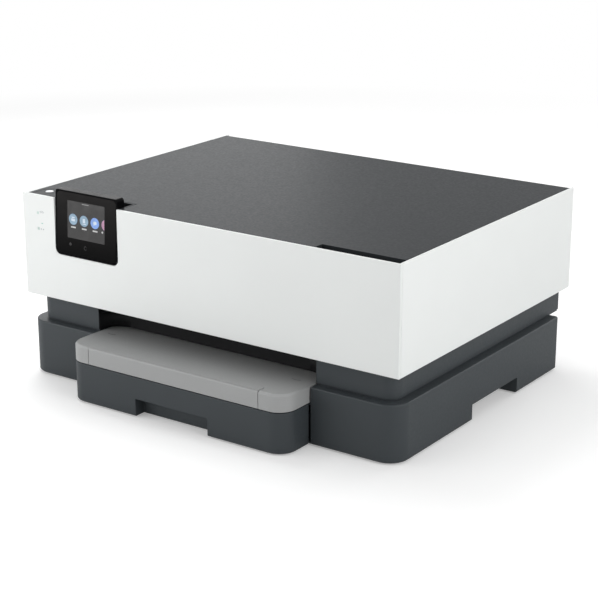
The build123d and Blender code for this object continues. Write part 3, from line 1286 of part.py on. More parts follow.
def make_cartridges():
    """Four ink cartridges side by side, each with a finger ridge on its front."""
    pitch = CARTRIDGE_WIDTH + CARTRIDGE_GAP + DIVIDER
    top = cartridge_z + CARTRIDGE_HEIGHT
    outline = [(cartridge_y, cartridge_z), (cartridge_back, cartridge_z), (cartridge_back, top - 8),
               (cartridge_back - 8, top), (cartridge_y + 3, top), (cartridge_y, top - 3)]
    ridge = [(cartridge_y + 0.5, top - 16), (cartridge_y - 4, top - 12), (cartridge_y - 4, top - 9),
             (cartridge_y + 0.5, top - 8)]
    for step, name in enumerate(("yellow", "cyan", "magenta", "black")):
        x = carriage_park - carriage_half + DIVIDER + CARTRIDGE_GAP / 2 + step * pitch
        with BuildPart() as cartridge:
            side_profile((x, x + CARTRIDGE_WIDTH), outline)
            side_profile((x + 3, x + CARTRIDGE_WIDTH - 3), ridge)
        save(cartridge, name + "_cartridge")


# ---------------------------------------------------------------- print engine: paper path
def make_pick_arm():
    """The pick arm: a closed gear case that hangs on the pick shaft and on its roller's axle by
    bearings open below."""
    half = 5.0
    end = 6.2  # from each axis to the case's end and to its upper and lower faces
    across = (TRAY_OFFSET - half, TRAY_OFFSET + half)
    outline = [(pick_y - end, pick_z - end / 2), (pick_y - end, pick_z + end / 2),
               (pick_y - end / 2, pick_z + end), (pick_end_y + end / 2, pick_end_z + end),
               (pick_end_y + end, pick_end_z + end / 2), (pick_end_y + end, pick_end_z - end / 2),
               (pick_end_y + end / 2, pick_end_z - end), (pick_y - end / 2, pick_z - end)]
    with BuildPart() as pick_arm:
        side_profile(across, outline)
        open_bearing(across, pick_y, pick_z, SHAFT_RADIUS, pick_z - end - 1)
        open_bearing(across, pick_end_y, pick_end_z, PICK_AXLE, pick_end_z - end - 1)
    save(pick_arm, "pick_arm")


def make_pick_roller():
    """The two rubber tyres at the arm's end, on one axle through the case."""
    inner = 6.0
    with BuildPart() as pick_roller:
        bar((TRAY_OFFSET - inner, TRAY_OFFSET + inner), pick_end_y, pick_end_z, PICK_AXLE)
        for out in (-1, 1):
            ends = (TRAY_OFFSET + out * inner, TRAY_OFFSET + out * PICK_WIDTH)
            ribbed(ends, pick_end_y, pick_end_z, PICK_RADIUS, 24)
    save(pick_roller, "pick_roller")


def make_pick_shaft():
    """The driven shaft that the pick arm hangs on."""
    half = pick_lug + LUG + 2
    with BuildPart() as pick_shaft:
        bar((TRAY_OFFSET - half, TRAY_OFFSET + half), pick_y, pick_z, SHAFT_RADIUS)
    save(pick_shaft, "pick_shaft")


def make_turn_roller():
    """The large roller that turns the sheet round at the back: two rubber tyres on a shaft."""
    half = TURN_WIDTH / 2
    with BuildPart() as turn_roller:
        axle(platen_half, turn_y, turn_z, SHAFT_RADIUS, JOURNAL)
        for out in (-1, 1):
            x = TRAY_OFFSET + out * TURN_SPREAD
            ribbed((x - half, x + half), turn_y, turn_z, TURN_RADIUS, 32)
    save(turn_roller, "turn_roller")


def make_paper_guide():
    """The curved outer guide behind the turn roller, with a cheek at each end for its shaft."""
    inner = TURN_RADIUS + TURN_GAP
    outer = inner + 2
    start, sweep = -50, 135
    with BuildPart() as paper_guide:
        with BuildSketch(Plane.YZ.offset(TRAY_OFFSET - platen_half)):
            with BuildLine():
                far = CenterArc((turn_y, turn_z), outer, start, sweep)
                near = CenterArc((turn_y, turn_z), inner, start, sweep)
                Line(far @ 0, near @ 0)
                Line(far @ 1, near @ 1)
            make_face()
        extrude(amount=2 * platen_half)
        cheek = [(turn_y - 6, turn_z - 5), (turn_y + inner + 1, turn_z - 5),
                 (turn_y + inner + 1, turn_z + 4), (turn_y + 12, turn_z + inner - 2),
                 (turn_y - 6, turn_z + 6)]
        for out in (-1, 1):
            x = TRAY_OFFSET + out * platen_half
            side_profile((x, x - out * 3), cheek)
            block((x, turn_y + 6, deck_z), (x + out * 9, turn_y + 22, deck_z + 2))
            block((x, turn_y + 6, deck_z), (x - out * 3, turn_y + 22, deck_z + 6))
        bearing((TRAY_OFFSET - platen_half - 1, TRAY_OFFSET + platen_half + 1), turn_y, turn_z, SHAFT_RADIUS)
    save(paper_guide, "paper_guide")


# ---------------------------------------------------------------- print engine: service station
def make_service_tray():
    """The open tub under the parked carriage, with rails for the sled."""
    x0 = carriage_park
    half = SLED_WIDTH / 2 + 3
    front = exit_y + EXIT_RADIUS + 3
    rear = feed_y - FEED_RADIUS - 3
    with BuildPart() as service_tray:
        block((x0 - half, front, deck_z), (x0 + half, rear, deck_z + 18))
        tub = ((x0 - half + 2, front + 2, deck_z + 2), (x0 + half - 2, rear - 2, deck_z + 19))
        block(*tub, Mode.SUBTRACT)
        for out in (-1, 1):
            x = x0 + out * (half - 2)
            block((x, front + 1, deck_z + 8), (x - out * 3, rear - 1, deck_z + 10))
    save(service_tray, "service_tray")


def make_service_sled():
    """The sled that slides in the tub and carries the caps and the wiper."""
    x0 = carriage_park
    half = SLED_WIDTH / 2
    low = deck_z + 10 + SEAM
    top = paper_z - 4
    front = sled_rear - SLED_LENGTH
    with BuildPart() as service_sled:
        block((x0 - half, front, low), (x0 + half, sled_rear, top))
        hollow = ((x0 - half + 2, front + 2, low - 1), (x0 + half - 2, sled_rear - 2, top - 2.5))
        block(*hollow, Mode.SUBTRACT)
    save(service_sled, "service_sled")


def make_caps_and_wiper():
    """The rubber cap rings that seal the nozzles and the wiper blade in front of them."""
    x0 = carriage_park
    low = paper_z - 4
    top = paper_z + HEAD_GAP - 0.4
    with BuildPart() as caps_and_wiper:
        for x in (x0 - 14, x0 + 14):
            block((x - 10, sled_rear - 26, low), (x + 10, sled_rear - 4, top))
            block((x - 8, sled_rear - 24, low + 1.5), (x + 8, sled_rear - 6, top + 1), Mode.SUBTRACT)
        block((x0 - 24, sled_rear - 33, low), (x0 + 24, sled_rear - 32, top))
    save(caps_and_wiper, "caps_and_wiper")


# ---------------------------------------------------------------- electrics and rear
def make_power_supply():
    """The closed power module in the rear left corner, behind the mains inlet."""
    x = -SIDE + INLET_FROM_LEFT
    front = plate_rear + 3
    top = shell_z + INLET_RISE - INLET_HEIGHT / 2 - 1
    with BuildPart() as power_supply:
        block((x - 30, front, deck_z), (x + 34, frame_back - WALL - 1, top))
        for step in range(6):
            y = front + 12 + step * 9
            block((x - 20, y, top - 2), (x + 24, y + 3, top + 1), Mode.SUBTRACT)
    save(power_supply, "power_supply")


def make_mains_inlet():
    """The three-pin mains inlet in the back, its blades standing in a shroud."""
    low, high = inlet_box(0)
    x = (low[0] + high[0]) / 2
    z = (low[2] + high[2]) / 2
    half_width = INLET_WIDTH / 2 - 2.5
    half_height = INLET_HEIGHT / 2 - 2
    floor = BACK - 12
    with BuildPart() as mains_inlet:
        block(low, (high[0], high[1] - 0.2, high[2]))
        shroud = ((x - half_width, floor, z - half_height), (x + half_width, BACK + 1, z + half_height))
        block(*shroud, Mode.SUBTRACT)
        for side, lift in ((-7, -2.5), (0, 2.5), (7, -2.5)):
            block((x + side - 1, floor - 0.5, z + lift - 2), (x + side + 1, BACK - 3, z + lift + 2))
    save(mains_inlet, "mains_inlet")


def make_logic_board():
    """The main circuit board, upright on posts behind the back, with a few large components."""
    left = board_right - BOARD_WIDTH
    y = BACK - SOCKET_DEPTH
    face = y - BOARD_THICKNESS
    parts = ((30, 36, 18, 18, 3), (58, 42, 12, 8, 2), (58, 24, 10, 12, 2), (14, 16, 8, 20, 6))
    with BuildPart() as logic_board:
        block((left, face, board_z), (board_right, y, board_z + BOARD_HEIGHT))
        for x, z, width, height, deep in parts:
            block((left + x, face - deep, board_z + z - height / 2),
                  (left + x + width, face + 0.1, board_z + z + height / 2))
    save(logic_board, "logic_board")


def make_rear_sockets():
    """The square data socket and the network socket, soldered to the board."""
    skin = 1.2
    with BuildPart() as rear_sockets:
        for low, high in socket_boxes(0):
            block(low, (high[0], high[1] - 0.2, high[2]))
            block((low[0] + skin, BACK - 11, low[2] + skin), (high[0] - skin, BACK + 1, high[2] - skin),
                  Mode.SUBTRACT)
        low, high = socket_boxes(0)[0]
        middle = (low[0] + high[0]) / 2
        height = (low[2] + high[2]) / 2
        block((middle - 2.8, BACK - 11.5, height - 1.5), (middle + 2.8, BACK - 6, height + 1.5))
    save(rear_sockets, "rear_sockets")


def make_rear_door():
    """The jam door in the back: a plate on a hinge barrel with a pin at each end, stiffening ribs
    inside and two thumb hollows."""
    middle = (door_left + door_right) / 2
    top = door_z + DOOR_HEIGHT
    inner_y = BACK - WALL
    with BuildPart() as rear_door:
        block((door_left, inner_y, door_axis_z), (door_right, BACK, top))
        side_profile((door_left, door_right), octagon((door_axis_y, door_axis_z), DOOR_BARREL))
        bar((door_left - LUG, door_right + LUG), door_axis_y, door_axis_z, PIN_RADIUS)
        for step in (-1, 1):
            x = middle + step * DOOR_RIB_PITCH
            block((x - 12, BACK - 1.2, top - 14), (x + 12, BACK + 1, top - 5), Mode.SUBTRACT)
        rib = [(inner_y + 0.5, door_axis_z + 8), (inner_y - 5, door_axis_z + 14), (inner_y - 5, top - 12),
               (inner_y + 0.5, top - 6)]
        for step in (-2, -1, 0, 1, 2):
            x = middle + step * DOOR_RIB_PITCH
            side_profile((x - 1, x + 1), rib)
    save(rear_door, "rear_door")


os.makedirs("parts", exist_ok=True)
make_lower_base()
make_rubber_feet()
make_mid_frame()
make_front_panel()
make_upper_casing()
make_rear_panel()
make_inner_bezel()
make_status_lights()
make_power_button()
make_top_cover()
make_control_panel()
make_touch_screen()
make_output_tray()
make_tray_extension()
make_cassette()
make_separation_pad()
make_width_guides()
make_guide_pinion()
make_length_guide()
make_side_plates()
make_gears()
make_feed_motor()
make_rollers()
make_pinch_rollers()
make_pinch_bracket()
make_star_wheels()
make_star_holder()
make_platen()
make_carriage_beam()
make_guide_rod()
make_encoder_strip()
make_timing_belt()
make_pulleys()
make_carriage_motor()
make_carriage()
make_print_head()
make_cartridges()
make_pick_arm()
make_pick_roller()
make_pick_shaft()
make_turn_roller()
make_paper_guide()
make_service_tray()
make_service_sled()
make_caps_and_wiper()
make_power_supply()
make_mains_inlet()
make_logic_board()
make_rear_sockets()
make_rear_door()
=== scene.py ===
"""Dresses the inkjet printer's frame: softened edges, a procedural material for every part, the
display's picture and the small marks, painted shade in the output slot and the tray's finger
grooves, a painted reflection on the screen glass, and a plain pale studio with the camera."""
import json
import math

import bmesh
import bpy
from mathutils import Matrix, Vector


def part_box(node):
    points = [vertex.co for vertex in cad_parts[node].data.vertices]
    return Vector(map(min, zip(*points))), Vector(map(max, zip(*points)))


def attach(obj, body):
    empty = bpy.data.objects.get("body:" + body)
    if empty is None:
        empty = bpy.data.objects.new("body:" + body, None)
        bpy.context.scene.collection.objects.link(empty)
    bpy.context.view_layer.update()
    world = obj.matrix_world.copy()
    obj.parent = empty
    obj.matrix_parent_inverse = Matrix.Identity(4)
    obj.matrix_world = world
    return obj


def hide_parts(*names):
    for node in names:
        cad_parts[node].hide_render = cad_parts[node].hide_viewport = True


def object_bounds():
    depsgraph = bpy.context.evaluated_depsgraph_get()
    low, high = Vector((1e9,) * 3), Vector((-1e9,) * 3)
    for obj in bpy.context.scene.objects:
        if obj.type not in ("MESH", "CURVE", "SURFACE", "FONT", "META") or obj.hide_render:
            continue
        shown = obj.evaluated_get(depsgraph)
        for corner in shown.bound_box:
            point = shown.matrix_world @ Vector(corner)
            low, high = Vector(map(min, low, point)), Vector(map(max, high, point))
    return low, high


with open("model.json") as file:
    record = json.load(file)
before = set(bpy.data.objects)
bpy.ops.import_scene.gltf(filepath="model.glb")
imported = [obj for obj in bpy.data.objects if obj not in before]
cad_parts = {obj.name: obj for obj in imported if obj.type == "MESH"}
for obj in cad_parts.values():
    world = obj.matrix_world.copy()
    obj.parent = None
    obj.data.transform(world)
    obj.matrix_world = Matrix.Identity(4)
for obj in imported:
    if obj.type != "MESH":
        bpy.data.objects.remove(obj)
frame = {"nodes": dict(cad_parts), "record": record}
cad_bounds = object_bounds()

MM = 0.001
WELD = 0.002 * MM            # corners nearer to each other than this are one corner

# The camera looks at AIM from this direction and distance, in metres and degrees.
AZIMUTH = 34.996
ELEVATION = 17.804
DISTANCE = 1.6
AIM = Vector((0.0426, -0.0437, 0.0979))
LENS = 99.55
SENSOR_WIDTH = 36.0

# Edge rounding in millimetres where a part isn't rounded by the usual amount.
ROUNDING = 0.3
ROUNDING_STEPS = 3
EDGES = {
    "front_panel": 0.4, "upper_casing": 0.4, "rear_panel": 0.5, "lower_base": 0.4, "cassette": 0.4,
    "output_tray": 0.35, "tray_extension": 0.35, "control_panel": 0.4, "rear_door": 0.4,
    "yellow_cartridge": 0.6, "cyan_cartridge": 0.6, "magenta_cartridge": 0.6, "black_cartridge": 0.6,
    "pick_arm": 0.15, "power_supply": 0.5, "carriage": 0.2, "platen": 0.2, "star_wheels": 0.1,
    "timing_belt": 0.2, "encoder_strip": 0.05, "guide_pinion": 0.15, "feed_gear": 0.15,
    "exit_gear": 0.15, "idler_gear": 0.15, "motor_pinion": 0.1, "pinch_bracket": 0.2,
    "left_width_guide": 0.2, "right_width_guide": 0.2, "drive_pulley": 0.15, "idler_pulley": 0.15,
    "pinch_rollers": 0.15, "turn_roller": 0.2, "paper_guide": 0.2,
}
SHARP = math.radians(30)     # faces that meet at more than this have an edge to round
ACUTE = math.radians(25)     # sharp edges that meet at less than this stay sharp
FLAT = math.radians(0.5)     # faces that meet at less than this are one face

# The screen's picture. A place on it is a share of the panel's width and a depth below the panel's
# top. Depths, shifts and sizes are in millimetres.
FIELD_LEFT_TOP = (0.20, 9.2)
FIELD_RIGHT_BOTTOM = (0.80, 46.3)
FIELD_CORNER = 0.6
TITLE_PLACE = (0.49, 10.9)
TITLE_SIZE = (8.6, 0.9)
TITLE_CORNER = 0.3
ICONS = [("first", 0.293, "icon_grey"), ("second", 0.469, "icon_grey"),
         ("third", 0.645, "icon_blue"), ("last", 0.82, "icon_pink")]
ICON_DEPTH = 27.3
ICON_RADIUS = 5.4
HALO_RADIUS = 6.0
ICON_MARGIN = 0.4            # between the field's right edge and the icon that it cuts
CAPTION_SHIFT = (0.3, -7.8)  # from the middle of its icon
CAPTION_SIZE = (6.2, 1.5)
CAPTION_CORNER = 0.5
CUT_CAPTION_SHIFT = (-2.4, -7.4)  # across from the cut edge, up from the icon's middle
CUT_CAPTION_RADIUS = 1.0
GLYPHS = {                   # strips: shift from the icon's middle, size, corner
    "first": [(0.0, 1.9, 4.2, 1.0, 0.3), (0.0, -0.6, 5.2, 2.6, 0.5)],
    "second": [(0.0, 0.3, 3.0, 4.2, 0.4), (0.0, -2.9, 4.4, 0.8, 0.3)],
    "third": [(0.0, 0.3, 4.4, 3.0, 1.2), (-1.0, -1.6, 1.2, 1.4, 0.2)],
}
DOT_KEY_PLACE = (0.246, 52.6)
DOT_KEY_RADIUS = 1.5
RING_KEY_PLACE = (0.49, 54.0)
RING_KEY_RADIUS = 1.7
RING_KEY_TURN = (30, 330)
RING_KEY_STROKE = 0.5

# Where a mark's layer starts and ends, in millimetres out of its surface.
GLASS_LAYER = (0.0, 0.02)
HALO_LAYER = (0.02, 0.03)
ICON_LAYER = (0.02, 0.04)
GLYPH_LAYER = (0.04, 0.06)
SHELL_LAYER = (0.0, 0.05)
GROOVE_SHADE_LAYER = (-0.1, 0.06)
LIP_LAYER = (-0.1, 0.22)
SHADE_SHEET_THICKNESS = 0.05 * MM             # thickness of the black sheet of painted shade in the slot

# The signs beside the status lights, in millimetres.
SIGN_GAP = 4.0               # from the lights to the middle of the signs
RADIO_DROP = 3.4             # the arcs' centre below the lights' top
RADIO_RADII = (4.4, 3.2)
RADIO_TURN = (50, 130)
RADIO_STROKE = 0.45
LINK_RISE = 7.2              # above the lights' bottom
LINK_SIZE = (2.4, 0.9)
LINK_CORNER = 0.4
DOTS_RISE = 1.3
DOTS_REACH = 1.4
DOT_RADIUS = 0.7

# The output tray's finger grooves, drawn as dark arcs of painted shade, and the strip on the extension's
# lip, in millimetres.
FINGER_INSET = 18.0          # from the tray's sides
FINGER_CENTRE = 53.0         # from the tray's front
FINGER_RADIUS = 10.0
FINGER_TURN = (240, 300)
FINGER_STROKE = 0.7
LIP_INSET = 0.7
LIP_DEPTH = 3.4
LIP_SIDE_GAPS = 1.6          # both sides together
LIP_CORNER = 0.3

# The lamps: name, direction from AIM, distance and size in metres, power in watts.
LAMPS = [
    ("left", (-1.2, -0.9, 0.35), 1.2, 0.7, 3.9),
    ("front_left", (-0.5, -1.2, 0.3), 1.1, 0.5, 1.5),
    ("above_left", (-0.6, 0.2, 1.0), 1.2, 0.6, 5.2),
    ("above_back", (-0.4, 0.6, 1.0), 1.5, 0.8, 2.0),
    ("back_left", (-1.2, 1.0, 0.6), 1.4, 0.8, 2.6),
    ("back", (0.2, 1.2, 0.5), 2.0, 1.2, 8.4),
    ("right", (1.2, -0.2, 0.5), 1.4, 0.8, 7.4),
]
SURROUND = 0.39              # the world's light on the object
WHITE = (1.0, 1.0, 1.0, 1.0)
FLOOR_GREY = (0.86, 0.86, 0.86, 1.0)
FLOOR_LIFT = 0.26            # light that the camera sees in the floor, over what falls on it
FLOOR_HALF = 8.0             # half the floor's width, in metres
FADE_SCALE = 0.62            # the floor is pure white from 1 / FADE_SCALE metres out
FADE_SHARE = 0.55            # the outer share of that distance over which it fades

# Stretches of a noise's value over which a colour or a gloss changes.
WIDE = (0.3, 0.7)
MIDDLE = (0.35, 0.65)
UPPER = (0.45, 0.7)


# ---------------------------------------------------------------- node helpers
def node(tree, kind, settings=None, **inputs):
    """A shader node with its settings, and its inputs as values or as sockets to link."""
    made = tree.nodes.new("ShaderNode" + kind)
    for key, value in (settings or {}).items():
        setattr(made, key, value)
    for key, value in inputs.items():
        socket = made.inputs[key]
        if isinstance(value, bpy.types.NodeSocket):
            tree.links.new(value, socket)
        else:
            socket.default_value = value
    return made


def pair(tree, kind, first, second, settings=None):
    """A shader node of two like inputs, both linked."""
    made = node(tree, kind, settings)
    tree.links.new(first, made.inputs[0])
    tree.links.new(second, made.inputs[1])
    return made


def mixed(tree, factor, first, second):
    """The colour between two colours or colour sockets, by a factor socket."""
    made = node(tree, "Mix", {"data_type": "RGBA"})
    sockets = [socket for socket in made.inputs if socket.enabled]
    tree.links.new(factor, sockets[0])
    for socket, value in zip(sockets[1:], (first, second)):
        if isinstance(value, bpy.types.NodeSocket):
            tree.links.new(value, socket)
        else:
            socket.default_value = (*value, 1.0)
    return next(socket for socket in made.outputs if socket.enabled)


def remap(tree, value, old, new=(0.0, 1.0)):
    """A value taken from one range to another."""
    ends = {"From Min": old[0], "From Max": old[1], "To Min": new[0], "To Max": new[1]}
    return node(tree, "MapRange", Value=value, **ends).outputs["Result"]


def around(value, reach):
    """The range that reaches as far above a value as below it."""
    return value - reach, value + reach


def shade(colour, factor):
    """A colour made lighter or darker by a factor."""
    return tuple(min(channel * factor, 1.0) for channel in colour)


def new_material(name):
    """An empty material, its node tree and the object's own coordinates."""
    material = bpy.data.materials.new(name)
    material.use_nodes = True
    tree = material.node_tree
    tree.nodes.clear()
    return material, tree, node(tree, "TexCoord").outputs["Object"]


def noise(tree, place, size, detail=2.0, stretch=None):
    """Noise whose lumps are about size millimetres across, stretched along each axis if asked."""
    if stretch:
        place = node(tree, "Mapping", Vector=place, Scale=stretch).outputs["Vector"]
    return node(tree, "TexNoise", Vector=place, Scale=1 / (size * MM), Detail=detail).outputs["Fac"]


def close_material(tree, shader, height, depth, **sockets):
    """Ends a material: the principled shader with relief of a depth in millimetres."""
    bump = node(tree, "Bump", Height=height, Distance=depth * MM, Strength=1.0)
    principled = node(tree, "BsdfPrincipled", **shader, **sockets, Normal=bump.outputs["Normal"])
    node(tree, "OutputMaterial", Surface=principled.outputs["BSDF"])


def worn_edges(tree, radius):
    """1 along convex and concave edges, 0 on the flats."""
    rounded = node(tree, "Bevel", {"samples": 4}, Radius=radius * MM).outputs["Normal"]
    plain = node(tree, "NewGeometry").outputs["Normal"]
    likeness = pair(tree, "VectorMath", rounded, plain, {"operation": "DOT_PRODUCT"})
    return remap(tree, likeness.outputs["Value"], (0.99, 0.8))


# ---------------------------------------------------------------- materials
def moulded(name, colour, roughness, grain=0.5, depth=0.012, mottle=0.05, wear=0.35, **shader):
    """Moulded plastic: a fine eroded grain, a colour that drifts a little, and edges rubbed paler."""
    material, tree, place = new_material(name)
    drift = noise(tree, place, size=90, detail=3.0)
    grains = noise(tree, place, size=grain, detail=3.0)
    specks = noise(tree, place, size=2.4, detail=4.0)
    rub = noise(tree, place, size=7, detail=4.0)
    drifted = mixed(tree, remap(tree, drift, MIDDLE), shade(colour, 1 - mottle), colour)
    speckled = mixed(tree, remap(tree, specks, (0.45, 0.75), (0.0, mottle)), drifted, shade(colour, 1.5))
    rubbed = remap(tree, rub, (0.4, 0.7), (0.0, wear))
    worn = pair(tree, "Math", worn_edges(tree, radius=0.8), rubbed, {"operation": "MULTIPLY"})
    base = mixed(tree, worn.outputs["Value"], speckled, shade(colour, 1.6))
    rough = remap(tree, specks, WIDE, around(roughness, 0.05))
    close_material(tree, {"Base Color": base, "Roughness": rough}, grains, depth, **shader)
    return material


def glossy(name, colour, roughness, smear=0.12, **shader):
    """A polished surface with faint finger smears that only show in its gloss."""
    material, tree, place = new_material(name)
    smears = noise(tree, place, size=16, detail=5.0, stretch=(1.0, 1.0, 2.2))
    drift = noise(tree, place, size=40)
    ripple = noise(tree, place, size=12, detail=1.0)
    base = mixed(tree, remap(tree, drift, MIDDLE), shade(colour, 0.8), shade(colour, 1.15))
    rough = remap(tree, smears, UPPER, (roughness, roughness + smear))
    close_material(tree, {"Base Color": base, "Roughness": rough}, ripple, 0.01, **shader)
    return material


def glass_painted_lighter_upwards(name, box, bottom, top, **shader):
    """Black glass, faintly smeared, with a painted reflection: its colour turns from the darker one at
    the box's bottom to the lighter one at its top.
    """
    material, tree, place = new_material(name)
    smears = noise(tree, place, size=14, detail=5.0, stretch=(1.0, 1.0, 2.0))
    height = node(tree, "SeparateXYZ", Vector=place).outputs["Z"]
    # painted reflection: the colour lightens from the box's bottom to its top
    base = mixed(tree, remap(tree, height, (box[0].z, box[1].z)), bottom, top)
    rough = remap(tree, smears, UPPER, (0.08, 0.16))
    close_material(tree, {"Base Color": base, "Roughness": rough}, smears, 0.002, **shader)
    return material


def sheet_metal(name, colour, roughness, grain=1.0):
    """Plated sheet: a faint spangle, a rolled grain along X and scattered scuffs."""
    material, tree, place = new_material(name)
    spangle = node(tree, "TexVoronoi", Vector=place, Scale=1 / (4 * MM)).outputs["Color"]
    tone = node(tree, "SeparateColor", Color=spangle).outputs["Red"]
    rolled = noise(tree, place, size=grain, detail=3.0, stretch=(0.04, 1.0, 1.0))
    scuffs = noise(tree, place, size=14, detail=6.0)
    spangled = mixed(tree, remap(tree, tone, (0.0, 1.0), (0.0, 0.5)), shade(colour, 0.85), colour)
    scuffed = mixed(tree, remap(tree, scuffs, (0.5, 0.75), (0.0, 0.5)), spangled, shade(colour, 0.7))
    rough = remap(tree, rolled, WIDE, (roughness - 0.08, roughness + 0.1))
    close_material(tree, {"Base Color": scuffed, "Roughness": rough}, rolled, 0.01, Metallic=1.0)
    return material


def turned_metal(name, colour, roughness):
    """Ground or turned metal: fine rings round the X axis and a few duller patches."""
    material, tree, place = new_material(name)
    rings = noise(tree, place, size=0.5, stretch=(1.0, 0.05, 0.05))
    patches = noise(tree, place, size=20, detail=4.0)
    base = mixed(tree, remap(tree, patches, UPPER, (0.0, 0.6)), colour, shade(colour, 0.8))
    rough = remap(tree, rings, WIDE, (roughness, roughness + 0.12))
    close_material(tree, {"Base Color": base, "Roughness": rough}, rings, 0.004, Metallic=1.0)
    return material


def rubber(name, colour, roughness=0.75, dust_colour=(0.35, 0.35, 0.34)):
    """Rubber: matte, with a fine tooth and a little pale paper dust."""
    material, tree, place = new_material(name)
    tooth = noise(tree, place, size=0.35, detail=4.0)
    dust = noise(tree, place, size=5, detail=6.0)
    base = mixed(tree, remap(tree, dust, (0.52, 0.8), (0.0, 0.35)), colour, dust_colour)
    rough = remap(tree, tooth, WIDE, (roughness - 0.08, roughness + 0.1))
    close_material(tree, {"Base Color": base, "Roughness": rough}, tooth, 0.05)
    return material


def circuit(name):
    """Green solder mask over copper tracks, with small vias."""
    material, tree, place = new_material(name)
    upright = node(tree, "Mapping", Vector=place, Rotation=(math.pi / 2, 0.0, 0.0)).outputs["Vector"]
    mortar = {"Mortar Size": 0.06}
    brick = node(tree, "TexBrick", Vector=upright, Scale=1 / (9 * MM), **mortar).outputs["Fac"]
    vias = node(tree, "TexVoronoi", Vector=place, Scale=1 / (5 * MM)).outputs["Distance"]
    drift = noise(tree, place, size=6, detail=3.0)
    mask = mixed(tree, drift, (0.006, 0.07, 0.025), (0.012, 0.12, 0.05))
    tracks = mixed(tree, brick, mask, (0.03, 0.22, 0.08))
    base = mixed(tree, remap(tree, vias, (0.10, 0.06)), tracks, (0.55, 0.50, 0.34))
    rough = remap(tree, drift, WIDE, (0.28, 0.42))
    close_material(tree, {"Base Color": base, "Roughness": rough}, brick, 0.03)
    return material


def clear_film(name):
    """Clear film with fine dark lines across it."""
    material, tree, place = new_material(name)
    lines = node(tree, "TexWave", Vector=place, Scale=1 / (3 * MM)).outputs["Fac"]
    scratches = noise(tree, place, size=3, detail=4.0)
    base = mixed(tree, lines, (0.55, 0.60, 0.62), (0.10, 0.11, 0.12))
    alpha = remap(tree, lines, (0.4, 0.6), (0.35, 0.75))
    rough = remap(tree, scratches, WIDE, (0.1, 0.25))
    sockets = {"Base Color": base, "Roughness": rough, "Alpha": alpha}
    close_material(tree, sockets, scratches, 0.005)
    return material


def lit(name, colour, drift_size=3.0):
    """Something that shines a little on the display, uneven as a backlight is."""
    material, tree, place = new_material(name)
    drift = noise(tree, place, size=drift_size)
    glow = mixed(tree, remap(tree, drift, WIDE), shade(colour, 0.82), shade(colour, 1.06))
    rough = remap(tree, drift, WIDE, (0.1, 0.2))
    sockets = {"Base Color": (*shade(colour, 0.1), 1.0), "Roughness": rough,
               "Emission Color": glow, "Emission Strength": 1.0}
    close_material(tree, sockets, drift, 0.002)
    return material


